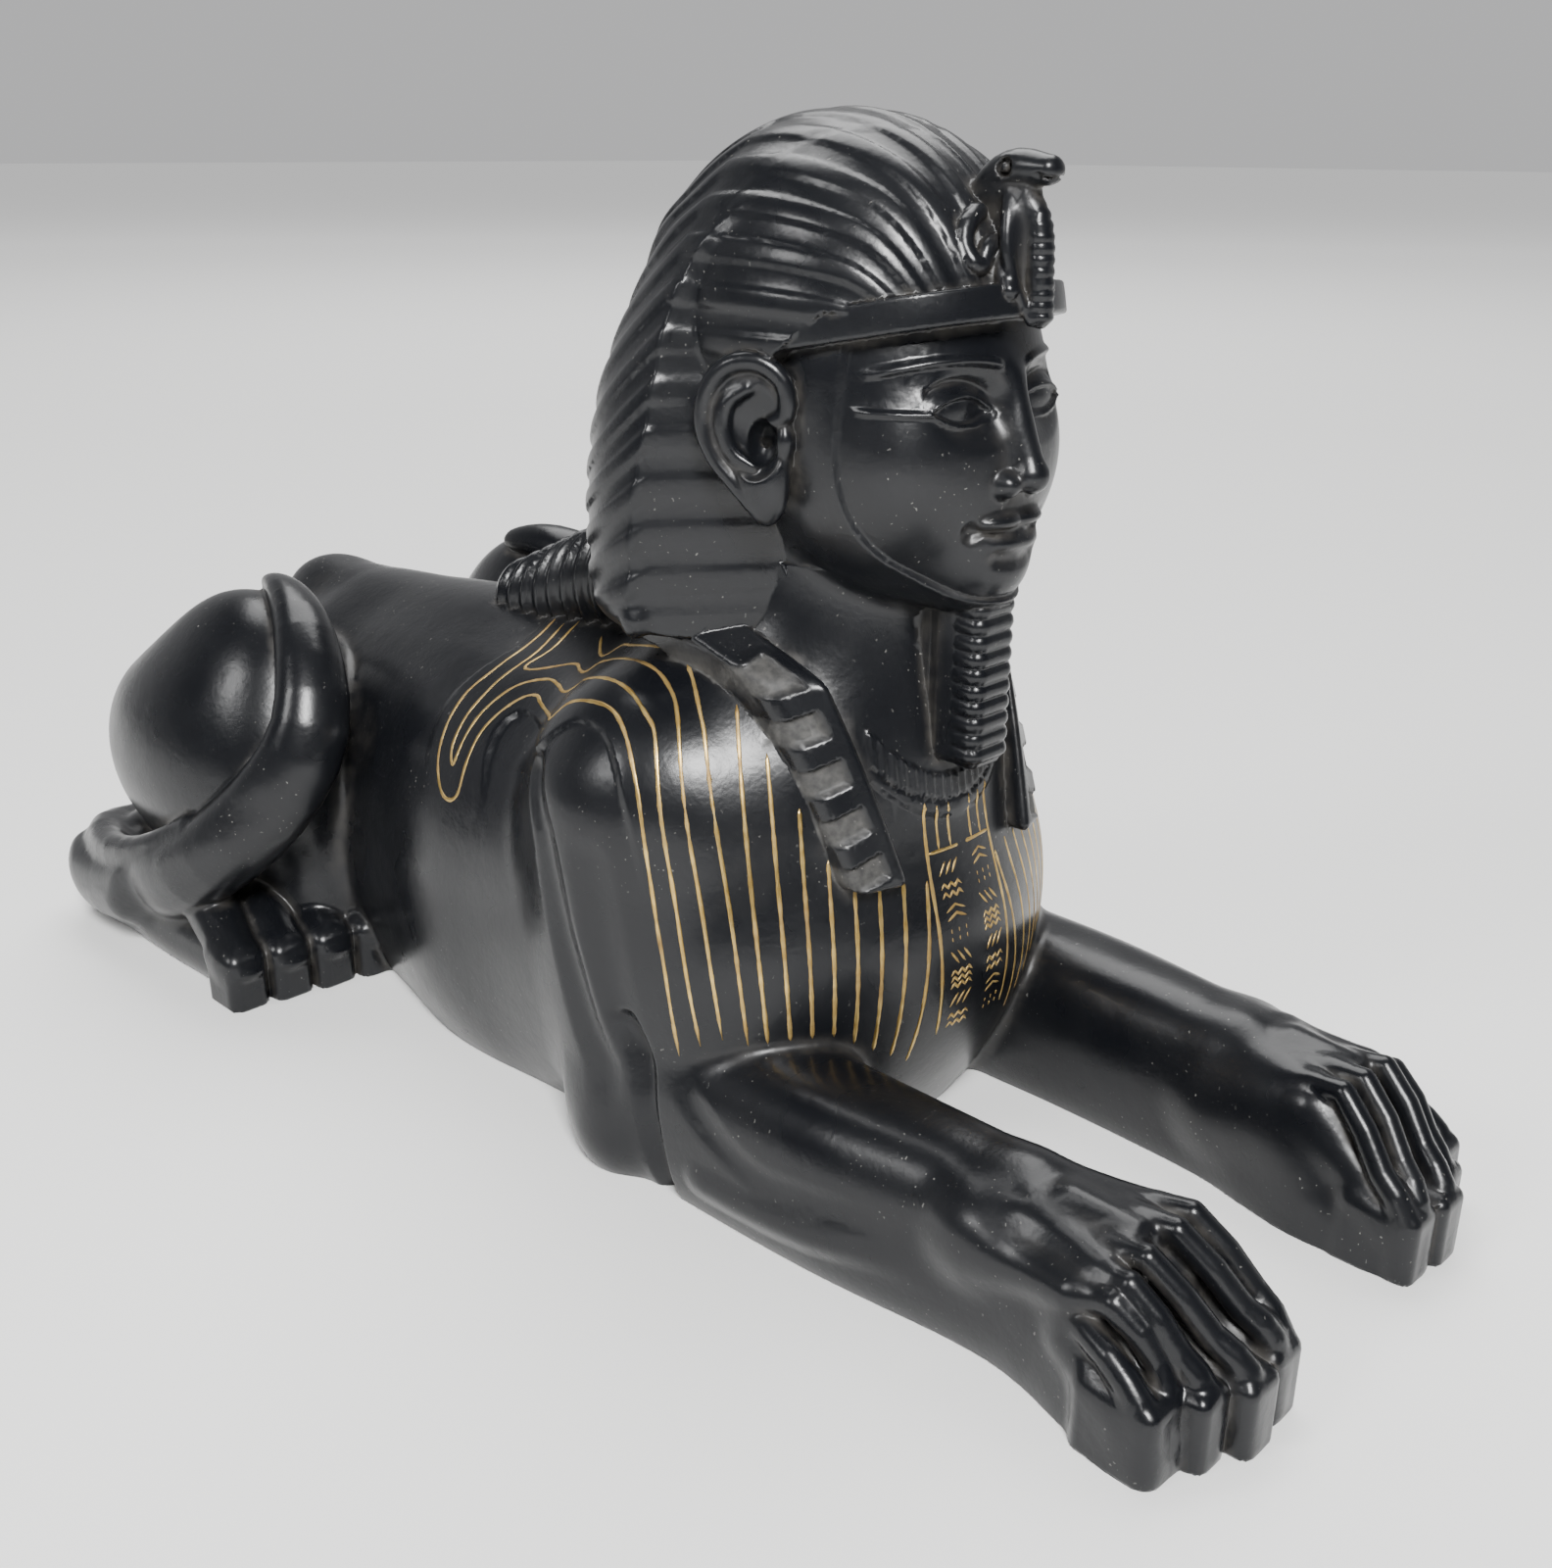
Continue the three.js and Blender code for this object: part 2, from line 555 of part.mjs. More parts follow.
function simplify({ positions, triangles }, limit) {
  const points = [];
  for (let i = 0; i < positions.length; i += 3) points.push(positions.slice(i, i + 3));
  const faces = [];
  const fans = points.map(() => new Set());
  const quadrics = points.map(() => new Float64Array(10));
  const versions = new Int32Array(points.length);
  for (let i = 0; i < triangles.length; i += 3) {
    const face = triangles.slice(i, i + 3);
    const n = crossOf(...face.map((v) => points[v]));
    const area = Math.hypot(...n) + 1e-12;
    const weight = area * (points[face[0]][2] > FINE_ABOVE ? FINE_WEIGHT : 1);
    const [a, b, c] = n.map((value) => value / area);
    const d = -(a * points[face[0]][0] + b * points[face[0]][1] + c * points[face[0]][2]);
    const plane = [a * a, a * b, a * c, a * d, b * b, b * c, b * d, c * c, c * d, d * d];
    for (const v of face) {
      fans[v].add(faces.length);
      plane.forEach((value, k) => { quadrics[v][k] += value * weight; });
    }
    faces.push(face);
  }

  const neighbours = (v) => {
    const found = new Set();
    for (const f of fans[v]) faces[f].forEach((w) => found.add(w));
    found.delete(v);
    return found;
  };

  // Best place for the point that replaces an edge, and what the move costs.
  const plan = (u, v) => {
    const q = quadrics[u].map((value, k) => value + quadrics[v][k]);
    const middle = points[u].map((value, k) => (value + points[v][k]) / 2);
    const pull = 1e-3 * (q[0] + q[4] + q[7]) + 1e-9;
    const m = new THREE.Matrix3().set(
      q[0] + pull, q[1], q[2],
      q[1], q[4] + pull, q[5],
      q[2], q[5], q[7] + pull,
    );
    const place = new THREE.Vector3(
      pull * middle[0] - q[3],
      pull * middle[1] - q[6],
      pull * middle[2] - q[8],
    ).applyMatrix3(m.invert());
    place.z = Math.max(place.z, 0);
    const { x, y, z } = place;
    const error = q[0] * x * x + q[4] * y * y + q[7] * z * z + q[9]
      + 2 * (q[1] * x * y + q[2] * x * z + q[5] * y * z + q[3] * x + q[6] * y + q[8] * z);
    const length = Math.hypot(...points[u].map((value, k) => value - points[v][k]));
    const cost = Math.max(error, 0) + 2e-3 * length * length;
    return { cost, u, v, place: [x, y, z], stamp: versions[u] + versions[v] };
  };

  const turnsOver = (v, other, place) => {
    for (const f of fans[v]) {
      const face = faces[f];
      if (face.includes(other)) continue;
      const before = crossOf(...face.map((w) => points[w]));
      const after = crossOf(...face.map((w) => (w === v ? place : points[w])));
      const dot = before[0] * after[0] + before[1] * after[1] + before[2] * after[2];
      const size = Math.hypot(...after);
      if (dot < 0.3 * Math.hypot(...before) * size || size < 0.02) return true;
    }
    return false;
  };

  const heap = new Heap();
  points.forEach((_, u) => {
    for (const v of neighbours(u)) if (u < v) heap.push(plan(u, v));
  });
  let left = faces.length;
  while (left > limit && heap.items.length > 0) {
    const { u, v, place, stamp } = heap.pop();
    if (versions[u] < 0 || versions[v] < 0 || stamp !== versions[u] + versions[v]) continue;
    const around = neighbours(v);
    const shared = [...neighbours(u)].filter((w) => around.has(w));
    if (!around.has(u) || shared.length !== 2) continue;
    if (turnsOver(u, v, place) || turnsOver(v, u, place)) continue;
    points[u] = place;
    quadrics[v].forEach((value, k) => { quadrics[u][k] += value; });
    for (const f of fans[v]) {
      if (faces[f].includes(u)) {
        faces[f].forEach((w) => { if (w !== v) fans[w].delete(f); });
        faces[f] = null;
        left -= 1;
      } else {
        faces[f] = faces[f].map((w) => (w === v ? u : w));
        fans[u].add(f);
      }
    }
    fans[v] = new Set();
    versions[v] = -1e9;
    versions[u] += 1;
    for (const w of neighbours(u)) heap.push(plan(u, w));
  }
  return { points, faces: faces.filter((face) => face) };
}

function solid(limit) {
  const { points, faces } = simplify(outerShell(marchGrid(sampleGrid(GRID_STEP))), limit);
  const geometry = new THREE.BufferGeometry();
  geometry.setAttribute('position', new THREE.Float32BufferAttribute(points.flat(), 3));
  geometry.setIndex(faces.flat());
  const facets = geometry.toNonIndexed();
  const shell = mergeVertices(facets, 1e-6);
  shell.translate(0, -MIDDLE_Y, 0);
  shell.computeVertexNormals();
  return shell;
}

const BLACK_RESIN = new THREE.MeshStandardMaterial({ color: 0x17191d, roughness: 0.4, metalness: 0 });

const sphinx = new THREE.Group();
const statue = new THREE.Mesh(solid(MAX_TRIANGLES), BLACK_RESIN);
statue.name = 'sphinx';
sphinx.add(statue);

export default sphinx;
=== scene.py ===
"""A sphinx statue in satin black resin with gold lines, lying on a pale floor.

The statue is one cast piece. Its surface is written as a distance function in millimetres
(negative inside), sampled on a grid and turned into a mesh. The function's frame has y = 0
at the shoulders, and MIDDLE_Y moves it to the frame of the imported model.
"""
import math
from concurrent.futures import ThreadPoolExecutor

import bpy
import numpy as np
import openvdb
from mathutils import Matrix, Vector


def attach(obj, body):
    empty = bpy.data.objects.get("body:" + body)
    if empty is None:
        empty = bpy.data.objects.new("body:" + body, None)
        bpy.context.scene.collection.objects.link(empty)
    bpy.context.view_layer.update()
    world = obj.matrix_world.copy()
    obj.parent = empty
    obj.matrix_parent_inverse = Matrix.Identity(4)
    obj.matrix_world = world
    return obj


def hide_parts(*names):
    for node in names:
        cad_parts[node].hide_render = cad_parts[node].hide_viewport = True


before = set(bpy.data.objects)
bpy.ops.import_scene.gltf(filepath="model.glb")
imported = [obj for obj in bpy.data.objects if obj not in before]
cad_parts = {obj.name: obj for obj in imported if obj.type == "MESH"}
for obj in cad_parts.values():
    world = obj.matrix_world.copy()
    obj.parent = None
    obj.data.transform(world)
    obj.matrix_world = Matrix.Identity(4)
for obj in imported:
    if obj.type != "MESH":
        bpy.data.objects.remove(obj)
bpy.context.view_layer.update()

# ---- Driving dimensions, in millimetres ----
MIDDLE_Y = 11.7                 # from the shoulders to the middle of the statue's length
RUMP_Y = 172.0
PAW_FRONT_Y = -163.5
HIND_TOES = 4
EYE_X, EYE_Z = 11.3, 155.5
NEMES_TOP = 205.0
WING_X = 47.0
PLEAT_PITCH = 8.75
PLEAT_MIDDLE = 0.9              # middle of a raised pleat, above the axis of the crown
PLEAT_HEIGHT = 0.34
PLEAT_FAN = 38.6                # radius of the crown at which the fanned pleats keep their pitch
LAPPET_TOP, LAPPET_FOOT = 120.0, 66.0
BAR_PITCH = 9.0
QUEUE_RIBS = 8
BEARD_PITCH = 3.2
MAX_TRIANGLES = 190000


# ---- Distance functions; p is a tuple of three arrays ----
def clamp(v, lo=0.0, hi=1.0):
    return np.minimum(np.maximum(v, lo), hi)


def lerp(a, b, t):
    return a + (b - a) * t


def smooth(v, lo, hi):
    t = clamp((v - lo) / (hi - lo))
    return t * t * (3 - 2 * t)


def blend(a, b, k):
    h = np.maximum(k - np.abs(a - b), 0) / k
    return np.minimum(a, b) - h * h * k / 4


def overlap(a, b, k):
    return -blend(-a, -b, k)


def carve(a, b, k):
    return -blend(-a, b, k)


def ellipsoid(p, centre, radii):
    u, v, w = (axis - c for axis, c in zip(p, centre))
    rx, ry, rz = radii
    k0 = np.sqrt((u / rx) ** 2 + (v / ry) ** 2 + (w / rz) ** 2)
    k1 = np.sqrt((u / rx ** 2) ** 2 + (v / ry ** 2) ** 2 + (w / rz ** 2) ** 2)
    return k0 * (k0 - 1) / np.maximum(k1, 1e-6)


def limb(p, a, b, ra, rb):
    d = [bb - aa for aa, bb in zip(a, b)]
    q = [axis - aa for axis, aa in zip(p, a)]
    t = clamp(sum(qq * dd for qq, dd in zip(q, d)) / sum(dd * dd for dd in d))
    return np.sqrt(sum((qq - t * dd) ** 2 for qq, dd in zip(q, d))) - lerp(ra, rb, t)


def box(p, centre, half, r):
    q = [np.abs(axis - c) - h + r for axis, c, h in zip(p, centre, half)]
    outside = np.sqrt(sum(np.maximum(v, 0) ** 2 for v in q))
    return outside + np.minimum(np.maximum(np.maximum(q[0], q[1]), q[2]), 0) - r


def ridge(distance, half, height):
    """Height of a rounded rib of this half width, at a distance from its middle line."""
    t = clamp(np.abs(distance) / half)
    return height * (1 - t * t) ** 2


def line_distance(u, v, points):
    """Distance in a plane from a smooth line through a list of points."""
    nodes = curve_points(points, 3)
    d = np.full_like(u, 1e3)
    for (au, av), (bu, bv) in zip(nodes[:-1], nodes[1:]):
        du, dv = bu - au, bv - av
        t = clamp(((u - au) * du + (v - av) * dv) / (du * du + dv * dv))
        d = np.minimum(d, np.hypot(u - au - t * du, v - av - t * dv))
    return d


def curve_points(points, steps):
    """Catmull-Rom curve through a list of points, every column interpolated alike."""
    pts = np.array(points, float)
    padded = np.vstack([2 * pts[0] - pts[1], pts, 2 * pts[-1] - pts[-2]])
    out = []
    for i in range(len(pts) - 1):
        a, b, c, d = padded[i:i + 4]
        for s in np.arange(steps) / steps:
            out.append(0.5 * (2 * b + (c - a) * s + (2 * a - 5 * b + 4 * c - d) * s ** 2
                              + (3 * b - a - 3 * c + d) * s ** 3))
    out.append(pts[-1])
    return np.array(out)


def sweep(points, steps=3):
    """A tube through [x, y, z, radius] points, as a function of p."""
    nodes = curve_points(points, steps)

    def tube(p):
        d = limb(p, nodes[0][:3], nodes[1][:3], nodes[0][3], nodes[1][3])
        for a, b in zip(nodes[1:-1], nodes[2:]):
            d = np.minimum(d, limb(p, a[:3], b[:3], a[3], b[3]))
        return d
    return tube


def stations(points):
    """Smooth look-up of [position, value...] rows at any position."""
    table = curve_points(points, 12)

    def at(t):
        return [np.interp(t, table[:, 0], table[:, k]) for k in range(1, table.shape[1])]
    return at


def loft(u, v, t, section, n):
    """Tube with an oval section of exponent n: section gives middle u, v and half sizes."""
    cu, cv, hu, hv = section(t)
    a = np.abs((u - cu) / hu)
    b = np.abs((v - cv) / hv)
    k = (a ** n + b ** n) ** (1 / n) + 1e-6
    slope = np.sqrt(((a / k) ** (n - 1) / hu) ** 2 + ((b / k) ** (n - 1) / hv) ** 2)
    return (k - 1) / slope


# ---- Body ----
TRUNK = stations([
    [-40, 0, 40, 50, 50], [0, 0, 37, 54, 58], [40, 0, 34, 56, 58],
    [80, 0, 34, 47, 57], [120, 0, 34, 42, 52], [160, 0, 34, 38, 44],
])


def trunk(p):
    x, y, z = p
    d = overlap(loft(x, z, y, TRUNK, 2.4), np.maximum(-52 - y, y - 150), 20)
    d = blend(d, ellipsoid(p, (0, 136, 38), (48, RUMP_Y - 136, 42)), 16)
    d = blend(d, ellipsoid(p, (0, -20, 42), (56, 55, 51)), 20)
    d = blend(d, ellipsoid(p, (0, -22, 82), (50, 37, 30)), 12)
    d = blend(d, limb(p, (0, 10, 84), (0, 140, 79), 12, 7), 14)
    return blend(d, ellipsoid(p, (0, 160, 76), (14, 15, 13)), 12)


def shoulder(p):
    deltoid = ellipsoid(p, (40, -18, 72), (19, 26, 26))
    upper_arm = limb(p, (45, -18, 76), (47, -22, 18), 14, 12)
    elbow = ellipsoid(p, (50.5, -24, 9), (12, 13.5, 14.5))
    return blend(blend(deltoid, upper_arm, 12), elbow, 5)


ARM_BACK = [(-28, 14), (-26.8, 25), (-24, 33), (-20.7, 43), (-17.5, 53), (-15, 63), (-12.5, 73), (-6, 82)]
ARM_MIDDLE = [(-33, 33), (-30, 45), (-28, 58), (-26, 70)]
ELBOW_FRONT = [(-32, 37), (-35.5, 28), (-38.3, 18), (-40.5, 9), (-41.5, 1)]


def arm_creases(p):
    """Depth of the soft creases behind the arm, down its side and in front of the elbow."""
    x, y, z = p
    outer = smooth(x, 40, 50)
    back = ridge(line_distance(y, z, ARM_BACK), 5.5, 1.7) * smooth(z, 12, 32)
    middle = ridge(line_distance(y, z, ARM_MIDDLE), 6, 0.8)
    front = ridge(line_distance(y, z, ELBOW_FRONT), 3.8, 2.6) * smooth(44 - z, 0, 10)
    return (back + middle + front) * outer


FORELEG = stations([
    [-162, 38.5, 0, 17.5, 8], [-150, 39, 2, 18, 13], [-138, 37.5, 5, 17, 22],
    [-126, 37, 10, 15, 21], [-112, 38, 13, 14, 21], [-80, 40.5, 14, 16, 21],
    [-50, 41, 14, 17, 21], [-20, 42, 15, 17, 20],
])
LEG_GROOVE = [(-42, 29), (-53, 22.5), (-67, 17.5), (-78, 18), (-90, 19.2), (-104, 20.5)]
LEG_RIDGE = [(-52, 9), (-66, 9), (-80, 10), (-95, 12.5), (-110, 12.5), (-120, 10.5)]


def foreleg(p):
    x, y, z = p
    d = overlap(loft(x, z, y, FORELEG, 2.5), np.maximum(PAW_FRONT_Y + 8 - y, y + 12), 6)
    for centre, radii in [((46, -113, 23), (8, 9, 8)), ((36, -116, 26), (7, 9, 7)),
                          ((28, -117, 16), (6, 9, 8)), ((31, -132, 21), (9, 15, 11.5))]:
        d = blend(d, ellipsoid(p, centre, radii), 6)
    for a, b, r in [((44, -122, 29), (46, -137, 28), 3), ((38.5, -126, 31), (38, -138, 31), 2.6),
                    ((49, -120, 23), (50.5, -134, 24), 3)]:
        d = blend(d, limb(p, a, b, r, r), 5)
    outer = smooth(x, 44, 50) * smooth(-y, 42, 56) * smooth(110 + y, 0, 30)
    d = d + ridge(line_distance(y, z, LEG_GROOVE), 4.2, 0.9) * outer
    return d - ridge(line_distance(y, z, LEG_RIDGE), 5, 1.3) * outer


# Ridges over the toes from the outer side in: x, y, z and radius along each.
TOE_RIDGES = [sweep(points, 2) for points in [
    [[47.5, -128, 17, 2.2], [52.3, -139.5, 20, 2.5], [54, -148, 16.4, 2.6], [54.2, -152, 11, 3],
     [54.2, -152.6, 2, 3]],
    [[48.6, -130, 21, 2], [49.6, -142, 25.6, 2.8], [48, -150, 17.4, 2.3], [49, -152.6, 11, 3],
     [49, -153, 2, 3]],
    [[46, -130, 24, 2], [47, -143, 28.4, 2.4], [45, -152, 18.6, 2.4], [43.6, -156.4, 13, 2.8],
     [43.6, -157, 2, 3]],
    [[41, -130, 27, 2], [42.2, -143, 31, 2.4], [38.6, -154, 19.6, 2.5], [36.4, -159.4, 14.4, 2.8],
     [36.2, -160.4, 2, 3]],
    [[33.6, -130, 29, 2], [33.4, -143, 31.8, 2.4], [29.4, -154, 20.2, 2.5], [27, -158.6, 15, 2.8],
     [27, -159.4, 2, 3]],
    [[28, -130, 28, 2], [27, -142, 31.4, 2.4], [23.6, -153, 19.8, 2.5], [23.4, -158, 14, 2.8],
     [23.6, -158.6, 2, 3]],
]]
# Toes of a forepaw: middle x, half width, root x and z, and how far each stops short.
TOES = [
    (52.4, 4.6, 48.8, 16, 8), (44, 4.4, 44.4, 21, 3.8),
    (35.4, 4.9, 37, 24.5, 0), (25.8, 5, 28, 25, 1.2),
]


def toes(p):
    d = np.full_like(p[0], 1e3)
    for toe_x, half, root_x, root_z, short in TOES:
        front_y = PAW_FRONT_Y + short
        pad = box(p, (toe_x, front_y + 8, 4), (half, 8, 10.5), 2.4)
        core = limb(p, (root_x, -136, root_z), (toe_x, front_y + 7, 9.5), 5.5, 4.6)
        d = blend(d, blend(pad, core, 3), 0.4)
    for toe_ridge in TOE_RIDGES:
        d = blend(d, toe_ridge(p), 1.0)
    return d


# ---- Hindquarters ----
SHANK = sweep([
    [75, 172, 12, 10.5], [76.2, 142, 17, 11], [74, 113, 30, 10.6], [65.5, 90, 50, 10.2],
    [56, 83, 69, 9.2], [47.5, 95.5, 87, 7.6], [41, 112, 94.5, 6.0], [36.5, 126, 95.5, 4.8],
])
TAIL = sweep([
    [0, 178, 30, 6], [-30, 181, 20, 6], [-55, 180, 18, 5.5], [-71, 171, 22, 5],
    [-79, 151, 25, 4.4], [-80, 130, 31, 3.8], [-76, 110, 42, 3],
])


def haunch(p):
    _, y, z = p
    thigh = ellipsoid(p, (53, 131, 50), (25, 44, 31))
    bulb = blend(thigh, ellipsoid(p, (47, 123, 66), (20.5, 31, 27.5)), 10)
    # The fold of the thigh is flattened to this, but not the shank low down and behind.
    envelope = ellipsoid(p, (50, 117, 52), (31, 46, 49))
    envelope = envelope - 10 * (1 - smooth(z, 28, 54)) - 20 * smooth(y, 128, 150)
    d = blend(bulb, overlap(SHANK(p), envelope, 5), 1.6)
    d = blend(d, limb(p, (72, 168, 8), (68, 104, 6), 9, 10), 3)
    d = blend(d, ellipsoid(p, (38, 162, 12), (40, 20, 21)), 8)
    d = blend(d, ellipsoid(p, (46, 108, 14), (14, 18, 36)), 8)
    return blend(d, ellipsoid(p, (52, 128, 4), (22, 30, 16)), 6)


def hind_toes(p):
    d = np.full_like(p[0], 1e3)
    for i in range(HIND_TOES):
        toe_x = 76 - i * 11
        front_y = 90 - i * 2
        back = limb(p, (toe_x - 4, 111, 18), (toe_x - 0.5, front_y + 5, 11.5), 7, 5.8)
        front = box(p, (toe_x, front_y + 5, 5), (5.2, 7, 9.5), 3)
        claw = ellipsoid(p, (toe_x, front_y - 0.6, 9.5), (4.2, 2.6, 2))
        d = blend(d, blend(blend(back, front, 3), claw, 1), 1)
    return d


# ---- Neck, head and face ----
def neck(p):
    return limb(p, (0, -37, 132), (0, -33, 72), 22, 27)


def head(p):
    d = blend(ellipsoid(p, (0, -46, 156), (28.5, 30, 35)), ellipsoid(p, (0, -54, 138), (23, 22, 19)), 12)
    d = blend(d, ellipsoid(p, (0, -70, 126), (8, 7.5, 7)), 10)
    return blend(d, ellipsoid(p, (14, -62, 146), (10, 9.5, 12)), 8)


def eye(p, d):
    """Adds an almond eye with lids, the painted-eye line and the brow to the face d."""
    x, y, z = p
    d = carve(d, ellipsoid(p, (EYE_X - 0.5, -79.5, EYE_Z + 1.5), (9.5, 8, 6)), 4)
    d = blend(d, ellipsoid(p, (EYE_X, -66.9, EYE_Z), (8.6, 6.6, 5.6)), 1.5)
    across = (x - EYE_X) / 7.2
    arch = np.maximum(1 - across ** 2, 0)
    tilt = 0.05 * (x - EYE_X)
    upper = z - (EYE_Z - 0.3 + 3.0 * arch ** 0.8 + tilt)
    lower = z - (EYE_Z - 0.5 - 2.2 * arch + tilt)
    width = smooth(1.08 - np.abs(across), 0, 0.25)
    front = smooth(-y, 55, 62)
    lids = ridge(upper, 1.0, 0.6) + ridge(lower, 0.8, 0.4)
    open_eye = smooth(-upper, 0, 0.8) * smooth(lower, 0, 0.8) * smooth(1 - np.abs(across), 0, 0.15)
    fold = ridge(upper - 2.4, 1.1, 0.45)
    corner_line = ridge(z - (EYE_Z - 0.3 + 0.02 * (x - EYE_X)), 0.9, 0.55)
    corner_line = corner_line * smooth(x, 17.5, 19) * smooth(26.5 - x, 0, 1.5)
    brow_z = EYE_Z + 6.0 + 2.6 * (1 - ((x - 12) / 13) ** 2)
    brow = ridge(z - brow_z, 1.3, 0.8) * smooth(x, 2.6, 4.5) * smooth(25.5 - x, 0, 3)
    relief = (lids - fold) * width - 0.35 * open_eye + corner_line + brow
    return d - relief * front


def nose(p, d):
    d = blend(d, limb(p, (0, -74.8, EYE_Z + 4), (0, -80.2, 144.4), 1.7, 2.7), 4)
    d = blend(d, ellipsoid(p, (0, -80.3, 143.5), (3.4, 3.1, 2.9)), 1.5)
    d = blend(d, ellipsoid(p, (4.3, -77.2, 142.3), (2.5, 3.5, 2.5)), 1.2)
    return carve(d, ellipsoid(p, (2.3, -79.6, 140.0), (1.1, 1.9, 1.2)), 0.8)


def mouth(p, d):
    d = carve(d, limb(p, (0, -79.2, 139.8), (0, -79.2, 138), 0.8, 0.8), 1.5)
    d = blend(d, ellipsoid(p, (3.0, -74.3, 135.6), (6.2, 4.9, 2.0)), 0.8)
    d = blend(d, ellipsoid(p, (1.5, -73.9, 131.5), (6.2, 5.3, 2.4)), 2.2)
    d = carve(d, limb(p, (0, -80.2, 133.5), (9.0, -75.0, 134.1), 0.5, 0.35), 0.9)
    d = carve(d, ellipsoid(p, (10.2, -75.2, 134.0), (1.4, 1.4, 1.5)), 1.5)
    return carve(d, limb(p, (0, -79.6, 128.3), (5, -78, 128.8), 0.9, 0.6), 2.5)


# The cloth's edge round the face: upright at CHEEK_Y, then a quarter ellipse under the jaw.
CHEEK_Y, CHEEK_TURN_Z = -58.0, 150.0
JAW_DEPTH, JAW_DROP = 20, 29.5


def cheek_edge(p):
    """Distance behind and below the edge of the bare face, seen from the side."""
    _, y, z = p
    back = np.maximum(y - CHEEK_Y + JAW_DEPTH, 0)
    drop = np.maximum(CHEEK_TURN_Z - z, 0)
    k0 = np.sqrt((back / JAW_DEPTH) ** 2 + (drop / JAW_DROP) ** 2)
    k1 = np.sqrt((back / JAW_DEPTH ** 2) ** 2 + (drop / JAW_DROP ** 2) ** 2)
    return np.where(drop > 0, k0 * (k0 - 1) / np.maximum(k1, 1e-6), y - CHEEK_Y)


def face(p):
    """Head with its features and the plain edge of the cloth, which is proud round the face."""
    strap = 1.15 * smooth(cheek_edge(p), -0.5, 0.5)
    return mouth(p, nose(p, eye(p, head(p)))) - strap


def ear(p):
    x, y, z = p
    out = (x - 33) * 0.85 - (y + 42) * 0.53
    back = (x - 33) * 0.53 + (y + 42) * 0.85
    q = (out, back, z)
    lobe = ellipsoid(q, (1.5, -3.4, 141.6), (2.9, 4.3, 7.4))
    d = blend(ellipsoid(q, (0, 0, 152.5), (3.2, 8.6, 11.2)), lobe, 4)
    d = carve(d, ellipsoid(q, (4.4, -1.2, 151.5), (4.0, 6.2, 8.4)), 1.2)
    d = blend(d, HELIX(q), 0.8)
    d = blend(d, ANTIHELIX(q), 1)
    d = blend(d, ellipsoid(q, (1.6, -6.8, 149.5), (1.8, 1.8, 2.8)), 1)
    return carve(d, ellipsoid(q, (1.2, -2.6, 149.2), (4, 2.8, 4.0)), 0.8)


HELIX = sweep([
    [1.2, -3.5, 152.5, 0.9], [2.0, -7.2, 154.5, 1.5], [2.2, -6.6, 160, 1.7], [2.0, -2.0, 163.2, 1.8],
    [1.8, 3.6, 162.4, 1.8], [1.5, 7.4, 158, 1.7], [1.4, 8.4, 152, 1.6], [1.6, 6.4, 146.5, 1.5],
    [1.8, 3.2, 142.5, 1.4], [1.8, -0.4, 138.2, 1.2],
])
ANTIHELIX = sweep([
    [2.0, 0.0, 158.5, 1.0], [2.0, 3.6, 156.0, 1.3], [2.0, 4.4, 151.5, 1.3], [2.0, 2.4, 147.0, 1.3],
    [2.2, -1.2, 145.0, 1.1],
])


def beard(p):
    _, y, z = p
    wave = np.abs(np.sin((z - 88) / BEARD_PITCH * math.pi)) ** 0.7 - 0.5
    ribs = 0.75 * wave * smooth(-y, 68.5, 70.5)
    rod = box(p, (0, -69, 104), (5.6, 6, 17), 2.5) - ribs
    return blend(rod, box(p, (0, -60, 104), (5, 9, 16.5), 1), 1)


# ---- Headcloth ----
NEMES = stations([
    [104, 0, -18, 38, 20], [113, 0, -20, 46, 28], [124, 0, -20.5, 46, 33.2], [140, 0, -20.8, 45, 34.4],
    [158, 0, -22, 41.5, 32.6], [178, 0, -30, 35, 33], [192, 0, -33, 26, 30], [205, 0, -34, 8, 12],
])


def pleat(p):
    """Distance across the pleats: level on the wings, fanned over the crown, falling behind."""
    x, y, z = p
    axis_z = 165 - 0.045 * np.maximum(-57 - y, 0) ** 2
    fan = PLEAT_FAN * np.arctan2(z - axis_z, np.maximum(x, 0.1))
    level = np.where(z < axis_z, z - axis_z, fan)
    fall = lerp(0.45, 0.86, clamp((z - 115) / 35)) * np.maximum(y + 25, 0)
    return level + fall


def pleat_wave(p):
    """1 on a raised pleat and -1 between, with steep edges and slightly rounded tops."""
    c = np.cos((pleat(p) - PLEAT_MIDDLE) / PLEAT_PITCH * 2 * math.pi)
    return 0.8 * np.tanh(2.4 * c) + 0.2 * c


